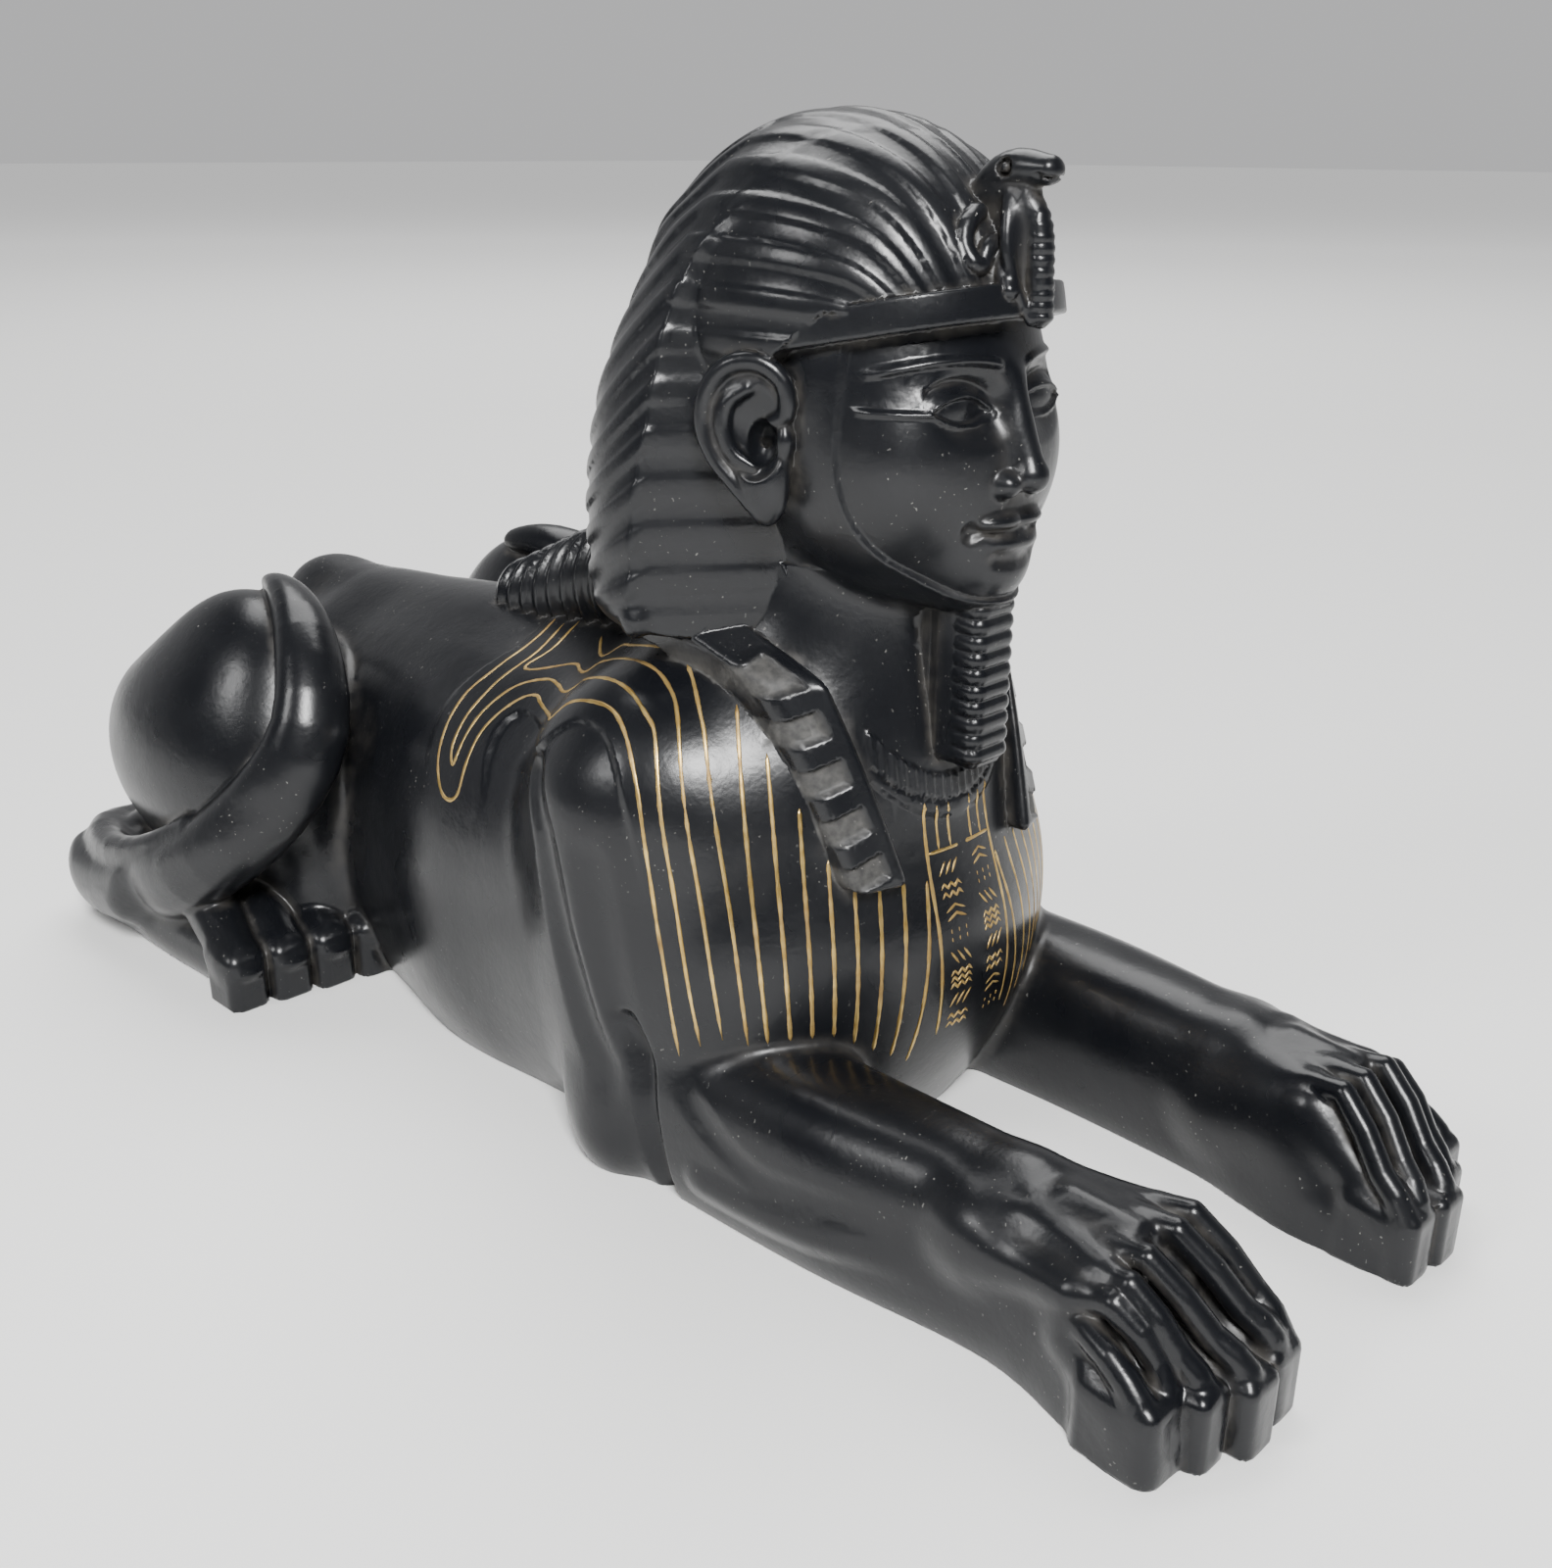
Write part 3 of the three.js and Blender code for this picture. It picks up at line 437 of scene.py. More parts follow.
def nemes(p):
    x, y, z = p
    cloth = overlap(loft(x, y, z, NEMES, 2), np.maximum(110 - z, z - 186), 8)
    wing_face = -22 - 0.76 * (WING_X - x) - y + 3 * smooth(z, 148, 176)
    d = overlap(cloth, wing_face, 0.4)
    d = blend(d, ellipsoid(p, (43.8, -21.8, 114), (2.7, 2.7, 3.4)), 1.5)
    dome = ellipsoid(p, (0, -35, 168), (34.5, 41, NEMES_TOP - 168))
    d = blend(d, dome, lerp(1.0, 6.0, smooth(z, 174, 188)))
    # Pleats are half as high on the front face of the wing, and full along its crest.
    full = np.maximum(smooth(np.abs(wing_face), 0.6, 2.2), 1 - smooth(np.abs(cloth), 0.6, 1.6))
    d = d - PLEAT_HEIGHT * pleat_wave(p) * smooth(z, 114, 118) * lerp(0.5, 1.0, full)
    return np.maximum(d, -np.maximum(z - 172, y + 46 + 1.1 * np.maximum(z - 163, 0)))


def brow_band(p):
    x, y, z = p
    dome = ellipsoid(p, (0, -36, 166), (36, 43, 40)) + 2.4 * smooth(x, 19, 32)
    rise = z - 174.2 + 0.2 * (y + 78)
    return overlap(dome, np.maximum(np.abs(rise) - 3, y + 48), 0.7)


def queue(p):
    t = clamp((p[1] - 22) / 48)
    ribs = 1.9 * np.abs(np.cos(t * QUEUE_RIBS * math.pi)) ** 4 - 0.7
    return limb(p, (0, 12, 112), (0, 66, 94.5), 15, 9) - ribs


def lappet_place(p):
    """Across the lappet, its width, along it, the depth below its face, and 0 to 1 down it."""
    x, y, z = p
    t = clamp((LAPPET_TOP - z) / (LAPPET_TOP - LAPPET_FOOT))
    inner = lerp(29, 18.3, t)
    outer = lerp(38, 29, t) + 4 * clamp(1 - t / 0.2) ** 2
    middle = lerp(33.5, 23.6, t)
    wrap = lerp(1.7, 0.35, t ** 0.6)
    forward = 45.3 + 26.5 * t ** 0.62 - 18 * smooth(z, 104, 116)   # tucked under the wing at the top
    depth = (y + forward - wrap * (x - inner)) / np.sqrt(1 + wrap ** 2)
    along = z + 0.38 * (x - middle) - LAPPET_FOOT
    return x - inner, outer - inner, along, depth, t


def lappet_bars(p):
    """1 on the rough floor of a recessed bar, 0 on the plain frame."""
    across, _, along, _, _ = lappet_place(p)
    inside = smooth(across, 3.1, 4.0) * smooth(along, 1.8, 2.7) * smooth(52.5 - along, 0, 1)
    return smooth(np.cos((along / BAR_PITCH - 0.5) * 2 * math.pi), -0.35, 0.35) * inside


def lappet(p):
    across, width, _, depth, t = lappet_place(p)
    half = width / 2
    back = lerp(11, 5, t)
    q = [np.abs(across - half) - half + 2, np.abs(depth - back) - back + 1.1 * lappet_bars(p) + 2,
         np.abs(p[2] - 94) - 26]
    outside = np.sqrt(sum(np.maximum(v, 0) ** 2 for v in q))
    return outside + np.minimum(np.maximum(np.maximum(q[0], q[1]), q[2]), 0) - 2


COIL = sweep([
    [4.5, -69.0, 188, 1.6], [8.4, -69.6, 186, 1.7], [9.6, -70.2, 182.8, 1.7], [9.4, -72.2, 180, 1.7],
    [7.6, -72.6, 179.6, 1.6], [6.4, -72.6, 182, 1.6], [4.2, -72.4, 183, 1.6], [4.0, -73.6, 180, 1.7],
    [5.4, -77.0, 175.5, 1.6],
])
SNAKE_HEAD = sweep([
    [0, -66, 190.5, 2.2], [0, -69.5, 193.6, 3.0], [0, -74, 195, 3.3], [0, -80, 194.8, 2.5],
])
SNAKE_BODY = sweep([
    [0, -70.5, 192, 2.4], [0, -76, 190, 2.3], [0, -78.6, 185, 2.4], [0, -79.2, 178, 2.4],
    [0, -80, 171.5, 2.1],
])
HOOD_EDGE = sweep([
    [1.6, -73.5, 191.5, 1.1], [4.0, -74.8, 188, 1.1], [5.2, -75.8, 183, 1.1], [4.6, -76.8, 178, 1.0],
    [2.9, -78, 173.5, 1.0], [1.8, -79.2, 170.5, 0.9],
])


def uraeus(p):
    x, y, z = p
    d = SNAKE_HEAD((x * 0.85, y, z))
    scales = 0.3 * np.abs(np.sin((z - 170) / 1.9 * math.pi)) * smooth(-y, 78.5, 80)
    d = blend(d, SNAKE_BODY(p) - scales, 1.5)
    hood = ellipsoid(p, (0, -75.8, 182), (5.2, 2.0, 9.5))
    d = blend(d, blend(hood, HOOD_EDGE(p), 1), 1)
    d = blend(d, box(p, (0, -70, 183), (2.2, 7, 9), 1), 2)
    d = carve(d, limb(p, (3.0, -73.2, 195.2), (4.8, -73.2, 195.2), 1.5, 1.5), 0.3)
    d = np.minimum(d, limb(p, (2, -73.2, 195.2), (3.0, -73.2, 195.2), 0.85, 0.85))
    d = carve(d, limb(p, (0, -82.6, 193.6), (4, -79, 194.2), 0.35, 0.3), 0.4)
    return blend(d, COIL(p), 0.8)


# ---- The feather cape: its relief and lines are placed by direction from inside the chest ----
CHEST_MIDDLE = np.array([0.0, -8.0, 50.0])
CAPE_HEIGHT = 1.0
# Edge of the raised cape as (azimuth from the front, elevation) in degrees.
CAPE_EDGE = [
    (60, 0), (64, 20), (69, 33), (75, 39), (83, 40), (89, 37), (95, 33), (103, 36), (118, 36), (128, 35.5),
    (131, 31), (127, 24), (121, 16.5), (122, 10), (127, 7.2), (132.5, 8), (137, 12.5), (142, 18), (147, 24),
    (154, 31.5), (166, 37.5), (182, 39),
]


def chart(p):
    """Azimuth from the front and elevation of p, in degrees, seen from inside the chest."""
    x, y, z = (axis - c for axis, c in zip(p, CHEST_MIDDLE))
    return np.degrees(np.arctan2(x, -y)), np.degrees(np.arctan2(z, np.hypot(x, y)))


def cape_relief(p):
    azimuth, elevation = chart(p)
    narrow = math.cos(math.radians(35))
    edge = curve_points(CAPE_EDGE, 2) * (narrow, 1)
    u, v = azimuth * narrow, elevation
    ring = np.vstack([edge, [(190, 39), (190, 120), (-20, 120), (-20, 0)]])
    inside = np.zeros(u.shape, bool)
    for (au, av), (bu, bv) in zip(ring, np.roll(ring, -1, axis=0)):
        crossing = (av > v) != (bv > v)
        inside ^= crossing & (u < au + (v - av) * (bu - au) / (bv - av if bv != av else 1))
    d = np.full_like(u, 1e3)
    for (au, av), (bu, bv) in zip(edge[:-1], edge[1:]):
        du, dv = bu - au, bv - av
        t = clamp(((u - au) * du + (v - av) * dv) / (du * du + dv * dv))
        d = np.minimum(d, np.hypot(u - au - t * du, v - av - t * dv))
    signed = np.where(inside, d, -d)
    return CAPE_HEIGHT * smooth(signed, -1.1, 0.6) * smooth(elevation, 8, 30)


def collar_relief(p):
    """A crescent of fine ribs under the beard and a plain one below it."""
    azimuth, elevation = chart(p)
    bend = (azimuth / 19) ** 2
    top, middle, bottom = 30 + 8.5 * bend, 26 + 7 * bend, 23 + 7.5 * bend
    near = smooth(22 - azimuth, 0, 3)
    ribbed = smooth(top - elevation, -0.4, 0.4) * smooth(elevation - middle, -0.4, 0.4)
    plain = smooth(middle - elevation, 0, 0.8) * smooth(elevation - bottom, -0.4, 0.6)
    ribs = 0.22 * np.cos(azimuth / 2.2 * 2 * math.pi)
    return near * (ribbed * (0.45 + ribs) + plain * 0.5)


# ---- The whole figure ----
# Each part: function, box that holds its surface (x from 0), blend width (0 is a plain join).
BODY_PARTS = [
    (shoulder, (10, -62, 0), (70, 24, 110), 10),
    (neck, (0, -75, 50), (40, 0, 160), 16),
    (foreleg, (12, -166, 0), (70, 0, 48), 3),
    (toes, (12, -170, 0), (70, -112, 42), 2.5),
    (haunch, (0, 55, 0), (95, 192, 110), 6),
    (hind_toes, (30, 78, 0), (90, 120, 35), 1.5),
]
HEAD_PARTS = [
    (face, (0, -92, 100), (36, -8, 198), 3),
    (nemes, (0, -82, 100), (60, 28, 212), 0),
    (ear, (16, -60, 130), (50, -22, 172), 0),
    (brow_band, (0, -86, 164), (44, -34, 186), 0),
    (lappet, (8, -80, 60), (50, -12, 126), 0),
    (queue, (0, -8, 80), (26, 84, 134), 0),
    (beard, (0, -82, 82), (12, -44, 126), 0),
    (uraeus, (0, -90, 164), (16, -58, 204), 0),
]
# Surface relief: function giving its height, and the box it is confined to.
RELIEFS = [
    (cape_relief, (0, -90, 55), (95, 80, 125)),
    (collar_relief, (0, -90, 60), (34, -40, 105)),
    (lambda p: -arm_creases(p), (40, -50, -5), (80, 10, 95)),
]


def within(p, lo, hi, pad):
    near = np.ones(p[0].shape, bool)
    for axis, a, b in zip(p, lo, hi):
        near &= (axis > a - pad) & (axis < b + pad)
    return near


def add_parts(p, d, parts):
    for part, lo, hi, width in parts:
        near = within(p, lo, hi, 5 + width)
        if near.any():
            value = part(tuple(axis[near] for axis in p))
            d[near] = blend(d[near], value, width) if width else np.minimum(d[near], value)
    return d


def body(p, parts=BODY_PARTS):
    """The lion's body and neck, without head, headcloth and beard."""
    q = (np.abs(p[0]), p[1], p[2])
    d = add_parts(q, trunk(q), parts)
    near = (p[1] > 90) & (p[0] < 12) & (p[2] < 60)
    if near.any():
        d[near] = blend(d[near], TAIL(tuple(axis[near] for axis in p)), 2)
    for relief, lo, hi in RELIEFS:
        near = within(q, lo, hi, 0) & (np.abs(d) < 8)
        if near.any():
            d[near] -= relief(tuple(axis[near] for axis in q))
    return d


def torso(p):
    """The body without its legs, for what lies on the chest and back."""
    return body(p, BODY_PARTS[:2])


def figure(p):
    q = (np.abs(p[0]), p[1], p[2])
    return np.maximum(add_parts(q, body(p), HEAD_PARTS), -p[2])


# ---- From the distance function to a mesh ----
def spaced(stops):
    """Grid coordinates whose spacing changes smoothly: stops are (position, spacing) pairs."""
    where = [stops[0][0]]
    while where[-1] < stops[-1][0]:
        where.append(where[-1] + np.interp(where[-1], *zip(*stops)))
    return np.array(where)


COARSE = 1.0
GRID_X = spaced([(-92, 0.8 * COARSE), (-62, 0.6 * COARSE), (62, 0.6 * COARSE), (92, 0.8 * COARSE)])
GRID_Y = spaced([(-166, 0.55 * COARSE), (-20, 0.55 * COARSE), (20, 0.9 * COARSE), (200, 0.9 * COARSE)])
GRID_Z = spaced([(-1.1, 0.7 * COARSE), (95, 0.7 * COARSE), (110, 0.5 * COARSE), (209, 0.5 * COARSE)])
BLOCK = 6
CHUNK = 60000


def in_chunks(points, field=figure):
    """The field at an N x 3 array of points, in threads."""
    parts = [points[i:i + CHUNK] for i in range(0, len(points), CHUNK)]
    with ThreadPoolExecutor(4) as pool:
        done = list(pool.map(lambda c: field(tuple(c.T.astype(np.float32))), parts))
    return np.concatenate(done)


def sampled():
    """Distances on the grid, worked out in full only in blocks near the surface."""
    axes = (GRID_X, GRID_Y, GRID_Z)
    counts = [-(-len(a) // BLOCK) for a in axes]
    padded = [np.concatenate([a, a[-1] + np.arange(1, BLOCK + 1)])[:n * BLOCK]
              for a, n in zip(axes, counts)]
    middles = [a.reshape(-1, BLOCK).mean(axis=1) for a in padded]
    centres = np.stack(np.meshgrid(*middles, indexing="ij"), -1).reshape(-1, 3)
    far = in_chunks(centres)
    reach = 0.9 * BLOCK * COARSE + 3.0
    near = np.nonzero(np.abs(far) < reach)[0]
    cells = np.repeat(far.reshape(counts), BLOCK, 0).repeat(BLOCK, 1).repeat(BLOCK, 2)
    i, j, k = np.unravel_index(near, counts)
    offsets = np.stack(np.meshgrid(*[np.arange(BLOCK)] * 3, indexing="ij"), -1).reshape(-1, 3)
    index = (np.stack([i, j, k], -1)[:, None, :] * BLOCK + offsets[None]).reshape(-1, 3)
    points = np.stack([padded[n][index[:, n]] for n in range(3)], -1)
    cells[index[:, 0], index[:, 1], index[:, 2]] = in_chunks(points)
    return cells, padded


def gradient(points, h, field=figure):
    rises = [in_chunks(points + step, field) - in_chunks(points - step, field) for step in h * np.eye(3)]
    return np.stack(rises, -1) / (2 * h)


def settled(points):
    """Points moved onto the surface by two Newton steps."""
    for _ in range(2):
        g = gradient(points, 0.15)
        size = np.maximum((g ** 2).sum(-1, keepdims=True), 0.2)
        points = points - clamp(in_chunks(points)[:, None] / size, -0.4, 0.4) * g
    points[:, 2] = np.maximum(points[:, 2], 0)
    return points


def statue_mesh():
    cells, axes = sampled()
    grid = openvdb.FloatGrid()
    grid.background = 3.0
    grid.copyFromArray(cells)
    index_points, triangles, quads = grid.convertToPolygons(0.0, 0.0)
    points = np.stack([np.interp(index_points[:, n], np.arange(len(axis)), axis)
                       for n, axis in enumerate(axes)], -1)
    return points, quads.tolist() + triangles.tolist()


def to_metres(points):
    return (points - np.array([0, MIDDLE_Y, 0])) / 1000


def new_object(name, points, faces):
    mesh = bpy.data.meshes.new(name)
    mesh.from_pydata(to_metres(points).tolist(), [], faces)
    mesh.validate()
    obj = bpy.data.objects.new(name, mesh)
    bpy.context.scene.collection.objects.link(obj)
    return obj


def apply_modifiers(obj):
    deps = bpy.context.evaluated_depsgraph_get()
    mesh = bpy.data.meshes.new_from_object(obj.evaluated_get(deps))
    obj.modifiers.clear()
    obj.data = mesh


def make_statue():
    points, faces = statue_mesh()
    obj = new_object("statue", points, faces)
    triangles = sum(len(f) - 2 for f in faces)
    if triangles > MAX_TRIANGLES:
        fewer = obj.modifiers.new("fewer", "DECIMATE")
        fewer.ratio = MAX_TRIANGLES / triangles
        apply_modifiers(obj)
    mesh = obj.data
    count = len(mesh.vertices)
    flat = np.empty(count * 3)
    mesh.vertices.foreach_get("co", flat)
    points = settled(flat.reshape(-1, 3) * 1000 + np.array([0, MIDDLE_Y, 0]))
    normals = gradient(points, 0.3)
    normals /= np.maximum(np.linalg.norm(normals, axis=1, keepdims=True), 1e-9)
    # How hollow the surface is there: the distance function a little way out, against flat.
    hollow = np.zeros(count)
    for reach in (0.8, 2.5):
        hollow += clamp((reach - in_chunks(points + normals * reach)) / reach) / 2
    mesh.vertices.foreach_set("co", to_metres(points).ravel())
    attribute = mesh.attributes.new("hollow", "FLOAT", "POINT")
    attribute.data.foreach_set("value", hollow.astype(np.float32))
    mirrored = tuple(np.abs(axis) if n == 0 else axis for n, axis in enumerate(points.T))
    on_lappet = (np.abs(lappet(mirrored)) < 0.25) * (np.abs(in_chunks(points)) < 0.3)
    floor = lappet_bars(mirrored) * on_lappet
    attribute = mesh.attributes.new("bar_floor", "FLOAT", "POINT")
    attribute.data.foreach_set("value", floor.astype(np.float32))
    mesh.polygons.foreach_set("use_smooth", [True] * len(mesh.polygons))
    mesh.normals_split_custom_set_from_vertices(normals.tolist())
    mesh.update()
    return obj


# ---- Gold lines ----
GOLD_WIDTH = 0.9
CROSS_WIDTH, SHORT_WIDTH, STROKE_WIDTH = 0.8, 0.7, 0.6
GOLD_HEIGHT = 0.1
# The outermost feather line and the next three, each from the foreleg up over the shoulder.
LONG_LINES = [
    [(56.5, -15), (58.9, 0), (60.7, 9.3), (63.4, 26.3), (66.4, 34.4), (70.4, 39.8), (75.8, 42.9), (84, 43.6),
     (91, 42.6), (95.7, 39.2), (101, 39.8), (118, 39), (127, 38.6), (132, 38.4), (134.5, 35), (133, 27),
     (130, 20), (127.8, 14.5), (128.6, 12), (131.5, 12), (136, 15.5), (140, 20), (145, 26), (151, 32.5),
     (164, 38.5), (180, 41)],
    [(52, -15), (55.6, 3.7), (59.8, 26), (63, 38.5), (66.7, 42.8), (74, 47), (84, 49), (97, 49),
     (114, 49), (123, 44.5), (131, 43.5), (137.5, 41.5), (140.5, 36), (138, 29), (134.5, 22), (132.6, 17.5),
     (135.5, 19.5), (139, 24.5), (144, 31), (155, 38.6), (180, 44.5)],
    [(48.2, -14), (52, 9), (57, 33.4), (60, 43.6), (64, 48.6), (71, 52.4), (82.4, 54.7), (100, 55.5),
     (118, 55), (126, 50.5), (133, 49), (142, 47), (147, 37), (157, 42), (180, 47)],
    [(44.5, -12), (47.7, 12), (52.6, 36.6), (55, 44), (59.7, 51.8), (66, 56), (75.8, 58.5), (95, 60),
     (112, 60.5), (124, 57), (136, 54.5), (157, 52)],
]
# Lines on the chest: how high each one runs before the lappet covers it.
CHEST_LINE_TOPS = [46, 38, 29, 20, 15, 14, 14, 13]
FIRST_AZIMUTH, LINE_STEP = 56.5, 3.8
PANEL_AZIMUTH = 9.2
PANEL_CROSS, PANEL_TOP, PANEL_FOOT = 17.5, 25.5, -16


def chest_line(k, top):
    start = FIRST_AZIMUTH - LINE_STEP * (k - 1)
    foot = -11.5 - max(k - 8, 0) * 2.2
    drift = 0.27 * (start - 30) / 30
    return [(start + drift * (e - foot), e) for e in np.linspace(foot, top, 6)]


def panel_strokes():
    """Two columns of short strokes in the middle panel: slants, zigzags, chevrons and dashes."""
    strokes = []

    def put(column, level, points):
        strokes.append([(column * 4.6 + u * 2.6, level + v * 1.5) for u, v in points])

    motifs = [
        [[(u - 0.35, -0.8), (u + 0.35, 0.8)] for u in (-0.6, 0, 0.6)],
        [[(-1 + i / 3, (0.3 if i % 2 else -0.3) + v) for i in range(7)] for v in (-0.6, 0.5)],
        [[(-0.9, v), (0, v + 0.7), (0.9, v)] for v in (-0.9, 0.1)],
        [[(u, v - 0.25), (u, v + 0.25)] for u in (-0.7, 0, 0.7) for v in (-0.5, 0.5)],
        [[(u + 0.35, -0.8), (u - 0.35, 0.8)] for u in (-0.6, 0, 0.6)],
        [[(-1 + i / 3, (0.3 if i % 2 else -0.3) + v) for i in range(7)] for v in (-0.8, 0, 0.8)],
    ]
    for column in (-1, 1):
        for row in range(8):
            for points in motifs[(row + (2 if column > 0 else 0)) % 6]:
                put(column, 14.2 - row * 4.0, points)
    return strokes


def straight(points, steps=6):
    """Points along straight segments."""
    out = []
    for (au, av), (bu, bv) in zip(points[:-1], points[1:]):
        out += [(lerp(au, bu, t), lerp(av, bv, t)) for t in np.arange(steps) / steps]
    return np.array(out + [points[-1]])


def on_body(directions):
    """Points of the body seen from the chest middle in the given directions."""
    azimuth, elevation = np.radians(np.array(directions, float)).T
    level = np.cos(elevation)
    aim = np.stack([np.sin(azimuth) * level, -np.cos(azimuth) * level, np.sin(elevation)], -1)
    reach = np.full(len(aim), 110.0)
    for _ in range(60):
        reach -= 0.7 * np.maximum(in_chunks(CHEST_MIDDLE + aim * reach[:, None], torso), -2)
    return CHEST_MIDDLE + aim * reach[:, None]


def ribbon(points, normals, width, phase):
    """A closed flat tube lying on the surface, with slightly uneven width."""
    run = np.concatenate([[0], np.cumsum(np.linalg.norm(np.diff(points, axis=0), axis=1))])
    tangent = np.gradient(points, axis=0)
    tangent /= np.linalg.norm(tangent, axis=1, keepdims=True) + 1e-9
    side = np.cross(normals, tangent)
    side /= np.linalg.norm(side, axis=1, keepdims=True) + 1e-9
    uneven = 1 + 0.12 * np.sin(run * 0.7 + phase) + 0.09 * np.sin(run * 1.9 + 2 * phase)
    taper = smooth(np.minimum(run, run[-1] - run), -0.4, 1.2)
    half = (width / 2 * uneven * taper)[:, None]
    profile = [(-1, -0.12), (-0.55, 0.6), (0, 1), (0.55, 0.6), (1, -0.12), (0, -3)]
    rings = np.stack([points + side * half * u + normals * GOLD_HEIGHT * v for u, v in profile], 1)
    count, around = rings.shape[:2]
    faces = [[i * around + j, i * around + (j + 1) % around,
              (i + 1) * around + (j + 1) % around, (i + 1) * around + j]
             for i in range(count - 1) for j in range(around)]
    faces += [list(range(around))[::-1], [(count - 1) * around + j for j in range(around)]]
    return rings.reshape(-1, 3), faces


def gold_lines():
    half = [(curve_points(line, 6), GOLD_WIDTH) for line in LONG_LINES]
    half += [(curve_points(chest_line(k + 5, top), 8), GOLD_WIDTH) for k, top in enumerate(CHEST_LINE_TOPS)]
    side = [(PANEL_AZIMUTH, e) for e in (PANEL_FOOT, -4, 8, 18, PANEL_TOP + 1)]
    half.append((curve_points(side, 8), GOLD_WIDTH))
    both = half + [(line * (-1, 1), width) for line, width in half]
    both.append((straight([(-PANEL_AZIMUTH, PANEL_CROSS), (PANEL_AZIMUTH, PANEL_CROSS)], 12), CROSS_WIDTH))
    for azimuth in (-6.2, -3.1, 0, 3.1, 6.2):
        both.append((straight([(azimuth, PANEL_CROSS), (azimuth, PANEL_TOP)]), SHORT_WIDTH))
    both += [(straight(stroke, 4), STROKE_WIDTH) for stroke in panel_strokes()]
    return both


def make_gold():
    points, faces = [], []
    total = 0
    for index, (directions, width) in enumerate(gold_lines()):
        line = on_body(directions)
        keep = in_chunks(line) > -0.3
        normals = gradient(line, 0.6, torso)
        normals /= np.linalg.norm(normals, axis=1, keepdims=True) + 1e-9
        runs = np.split(np.arange(len(line)), np.nonzero(np.diff(keep))[0] + 1)
        for run in runs:
            if keep[run[0]] and len(run) > 2:
                ring_points, ring_faces = ribbon(line[run], normals[run], width, index * 1.7)
                points.append(ring_points)
                faces += [[v + total for v in face] for face in ring_faces]
                total += len(ring_points)
    obj = new_object("gold_lines", np.concatenate(points), faces)
    obj.data.polygons.foreach_set("use_smooth", [True] * len(obj.data.polygons))
    return obj


# ---- Materials ----
class Nodes:
    """Short way to add and join shader nodes."""

    def __init__(self, material):
        material.use_nodes = True
        self.tree = material.node_tree
        self.shader = self.tree.nodes["Principled BSDF"]

    def add(self, kind, inputs=None, **settings):
        node = self.tree.nodes.new(kind)
        for name, value in settings.items():
            setattr(node, name, value)
        for name, value in (inputs or {}).items():
            if isinstance(value, bpy.types.NodeSocket):
                self.tree.links.new(value, node.inputs[name])
            else:
                node.inputs[name].default_value = value
        return node

    def noise(self, scale, detail=2.0, roughness=0.5):
        place = self.add("ShaderNodeTexCoord").outputs["Object"]
        return self.add("ShaderNodeTexNoise", {"Vector": place, "Scale": scale, "Detail": detail,
                                               "Roughness": roughness}).outputs["Fac"]

    def span(self, value, lo, hi, out_lo=0.0, out_hi=1.0):
        node = self.add("ShaderNodeMapRange", {"Value": value, "From Min": lo, "From Max": hi,
                                               "To Min": out_lo, "To Max": out_hi})
        return node.outputs["Result"]

    def math(self, operation, a, b):
        return self.add("ShaderNodeMath", {0: a, 1: b}, operation=operation).outputs["Value"]

    def mix(self, amount, a, b):
        node = self.add("ShaderNodeMix", {"Factor": amount}, data_type="RGBA")
        for name, value in (("A", a), ("B", b)):
            socket = [i for i in node.inputs if i.name == name and i.type == "RGBA"][0]
            if isinstance(value, bpy.types.NodeSocket):
                self.tree.links.new(value, socket)
            else:
                socket.default_value = value
        return [o for o in node.outputs if o.type == "RGBA"][0]

    def set(self, name, value):
        if isinstance(value, bpy.types.NodeSocket):
            self.tree.links.new(value, self.shader.inputs[name])
        else:
            self.shader.inputs[name].default_value = value

    def bump(self, height, distance, strength=1.0):
        node = self.add("ShaderNodeBump", {"Height": height, "Distance": distance, "Strength": strength})
        self.set("Normal", node.outputs["Normal"])


def resin_material():
    """Satin black resin: grey dust in the hollows, a few pale specks, faint handling marks."""
    material = bpy.data.materials.new("black_resin")
    n = Nodes(material)
    hollow = n.add("ShaderNodeAttribute", attribute_name="hollow").outputs["Fac"]
    bars = n.add("ShaderNodeAttribute", attribute_name="bar_floor").outputs["Fac"]
    blotch = n.noise(45, 3)
    grain = n.noise(900, 2)
    dust = n.math("MULTIPLY", n.span(hollow, 0.14, 0.6), n.span(n.noise(260, 3), 0.3, 0.65))
    chalk = n.math("MULTIPLY", bars, n.span(n.noise(700, 3), 0.3, 0.7, 0.35, 1))
    specks = n.math("MULTIPLY", n.span(n.noise(1500, 0), 0.79, 0.83), n.span(blotch, 0.45, 0.7))
    colour = n.mix(n.span(blotch, 0.3, 0.7), (0.004, 0.0045, 0.006, 1), (0.007, 0.0075, 0.009, 1))
    colour = n.mix(n.math("MULTIPLY", dust, 0.4), colour, (0.075, 0.068, 0.058, 1))
    colour = n.mix(n.math("MULTIPLY", chalk, 0.6), colour, (0.095, 0.092, 0.085, 1))
    colour = n.mix(n.math("MULTIPLY", specks, 0.35), colour, (0.42, 0.41, 0.38, 1))
    n.set("Base Color", colour)
    matt = n.math("MAXIMUM", n.math("MULTIPLY", dust, 0.25), n.math("MULTIPLY", bars, 0.3))
    n.set("Roughness", n.math("ADD", n.span(blotch, 0.25, 0.75, 0.24, 0.34), matt))
    n.set("IOR", 1.43)
    n.bump(n.math("ADD", n.math("MULTIPLY", grain, 0.25), n.noise(160, 3)), 0.00012)
    return material


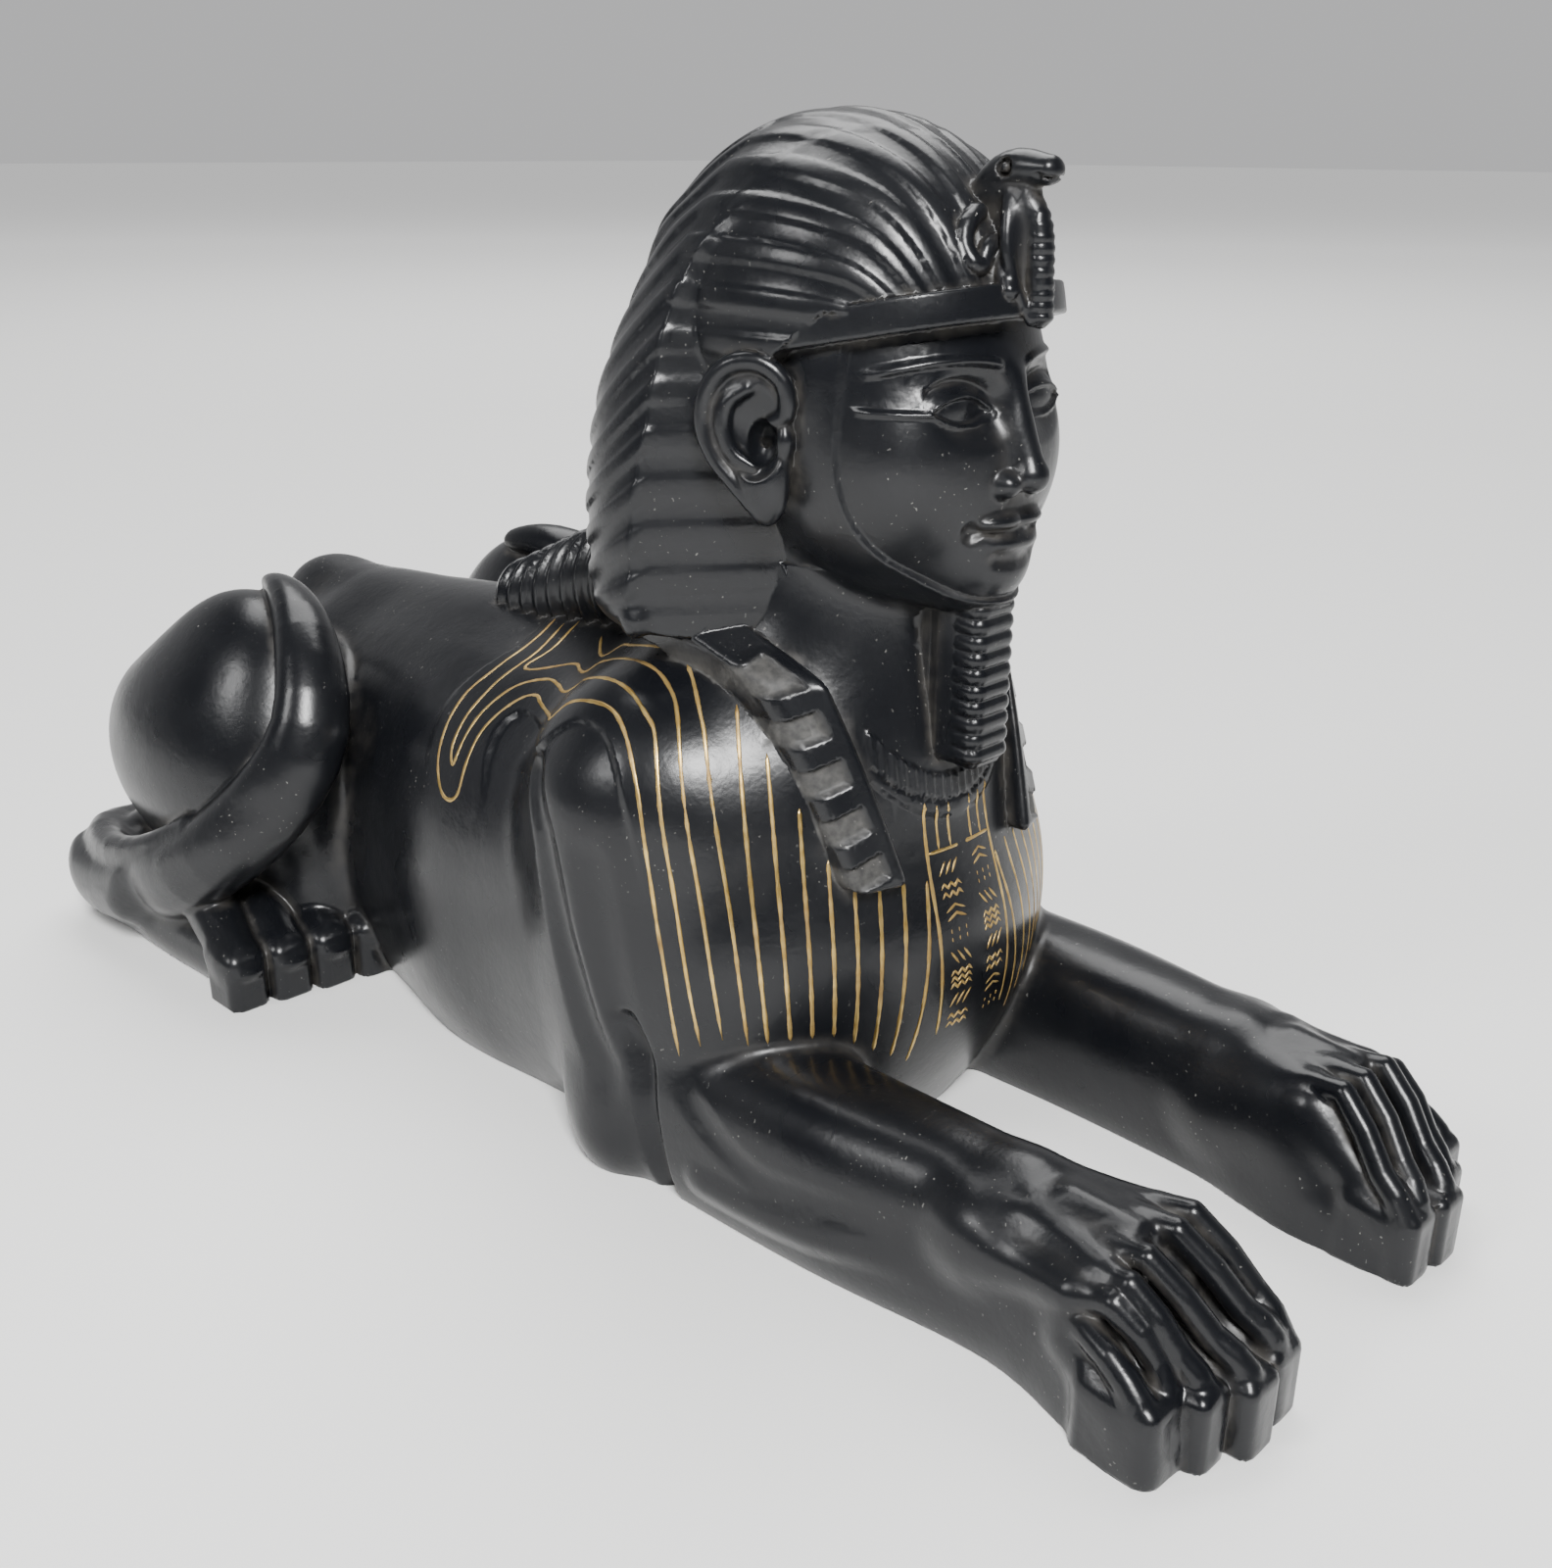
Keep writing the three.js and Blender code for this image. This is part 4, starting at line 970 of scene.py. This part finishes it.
def gold_material():
    """Worn gold paint, browner and duller where it is rubbed."""
    material = bpy.data.materials.new("gold_paint")
    n = Nodes(material)
    wear = n.span(n.noise(70, 4, 0.65), 0.42, 0.66)
    colour = n.mix(n.span(n.noise(350, 2), 0.3, 0.7), (0.66, 0.47, 0.17, 1), (0.45, 0.29, 0.08, 1))
    n.set("Base Color", n.mix(n.math("MULTIPLY", wear, 0.75), colour, (0.1, 0.05, 0.018, 1)))
    n.set("Metallic", n.span(wear, 0, 1, 0.9, 0.3))
    n.set("Roughness", n.span(wear, 0, 1, 0.3, 0.6))
    return material


# ---- Stage, light and camera ----
FLOOR_SIZE = 30
HAZE_NEAR, HAZE_FAR, HAZE_GLOW = 1.0, 3.5, 0.55   # the far floor glows to meet the pale wall
CAMERA_PLACE = (-0.243383, -0.254619 - MIDDLE_Y / 1000, 0.198814)
CAMERA_TURN = (-45.67, 21.776, 0.314)             # heading, downward tilt and roll in degrees
SENSOR_HEIGHT, LENS = 36, 37.950435               # in millimetres
LENS_SHIFT = 0.01216875                           # as a share of the frame's height


def make_floor():
    bpy.ops.mesh.primitive_plane_add(size=FLOOR_SIZE, location=(0, 0, 0))
    floor = bpy.context.object
    floor.name = "floor"
    material = bpy.data.materials.new("floor")
    material.use_nodes = True
    shader = material.node_tree.nodes["Principled BSDF"]
    shader.inputs["Base Color"].default_value = (0.86, 0.86, 0.85, 1)
    shader.inputs["Roughness"].default_value = 0.9
    shader.inputs["Emission Color"].default_value = (0.95, 0.95, 0.95, 1)
    nodes, links = material.node_tree.nodes, material.node_tree.links
    away = nodes.new("ShaderNodeVectorMath")
    away.operation = "LENGTH"
    links.new(nodes.new("ShaderNodeNewGeometry").outputs["Position"], away.inputs[0])
    haze = nodes.new("ShaderNodeMapRange")
    limits = {"From Min": HAZE_NEAR, "From Max": HAZE_FAR, "To Min": 0.0, "To Max": HAZE_GLOW}
    for name, value in limits.items():
        haze.inputs[name].default_value = value
    links.new(away.outputs["Value"], haze.inputs["Value"])
    links.new(haze.outputs["Result"], shader.inputs["Emission Strength"])
    floor.data.materials.append(material)


def make_light(name, place, target, size, watts):
    lamp = bpy.data.lights.new(name, "AREA")
    lamp.energy = watts
    lamp.size = size
    obj = bpy.data.objects.new(name, lamp)
    bpy.context.scene.collection.objects.link(obj)
    obj.location = place
    obj.rotation_euler = (Vector(target) - Vector(place)).to_track_quat("-Z", "Y").to_euler()


BACKDROP_SIDE = (0.71, 0.70)     # the pale wall stands behind the statue, seen from the camera


def make_world():
    """A dim room with a pale wall behind the statue and along the horizon."""
    world = bpy.data.worlds.new("studio")
    world.use_nodes = True
    nodes, links = world.node_tree.nodes, world.node_tree.links
    background = nodes["Background"]
    parts = nodes.new("ShaderNodeSeparateXYZ")
    links.new(nodes.new("ShaderNodeTexCoord").outputs["Generated"], parts.inputs[0])

    def math_node(operation, a, b):
        node = nodes.new("ShaderNodeMath")
        node.operation = operation
        node.use_clamp = operation == "MULTIPLY"
        for socket, value in zip(node.inputs, (a, b)):
            if isinstance(value, bpy.types.NodeSocket):
                links.new(value, socket)
            else:
                socket.default_value = value
        return node.outputs[0]

    def span(value, lo, hi):
        node = nodes.new("ShaderNodeMapRange")
        node.interpolation_type = "SMOOTHSTEP"
        links.new(value, node.inputs["Value"])
        node.inputs["From Min"].default_value = lo
        node.inputs["From Max"].default_value = hi
        return node.outputs["Result"]

    across = nodes.new("ShaderNodeVectorMath")
    across.operation = "DOT_PRODUCT"
    links.new(parts.inputs[0].links[0].from_socket, across.inputs[0])
    across.inputs[1].default_value = (*BACKDROP_SIDE, 0)
    behind = span(across.outputs["Value"], -0.3, 0.5)
    wall = math_node("MULTIPLY", behind, span(parts.outputs["Z"], 0.75, 0.25))
    level = math_node("ADD", math_node("MULTIPLY", wall, 0.52), 0.05)
    background.inputs["Color"].default_value = (0.95, 0.95, 0.96, 1)
    links.new(level, background.inputs["Strength"])
    bpy.context.scene.world = world


def make_lights():
    make_world()
    make_light("key", (-0.62, -0.78, 1.0), (0, 0, 0.06), 0.34, 34)
    make_light("window", (-1.3, 0.25, 1.0), (0, 0, 0.06), 0.4, 8)
    make_light("ceiling", (0.9, 0.9, 1.9), (0.8, 0.8, 0), 1.8, 60)


def make_camera():
    yaw, pitch, roll = (math.radians(v) for v in CAMERA_TURN)
    forward = Vector((-math.sin(yaw) * math.cos(pitch), math.cos(yaw) * math.cos(pitch), -math.sin(pitch)))
    right = Vector((math.cos(yaw), math.sin(yaw), 0))
    up = right.cross(forward)
    right, up = (right * math.cos(roll) + up * math.sin(roll), up * math.cos(roll) - right * math.sin(roll))
    data = bpy.data.cameras.new("camera")
    data.sensor_fit = "VERTICAL"
    data.sensor_height = SENSOR_HEIGHT
    data.lens = LENS
    data.shift_y = LENS_SHIFT
    data.clip_start = 0.01
    camera = bpy.data.objects.new("camera", data)
    bpy.context.scene.collection.objects.link(camera)
    turn = Matrix((right, up, -forward)).transposed().to_4x4()
    camera.matrix_world = Matrix.Translation(Vector(CAMERA_PLACE)) @ turn
    bpy.context.scene.camera = camera


make_camera()
make_floor()
make_lights()
statue = make_statue()
statue.data.materials.clear()
statue.data.materials.append(resin_material())
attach(statue, "root")
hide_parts("sphinx")

gold = make_gold()
gold.data.materials.append(gold_material())
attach(gold, "root")
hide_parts("sphinx")
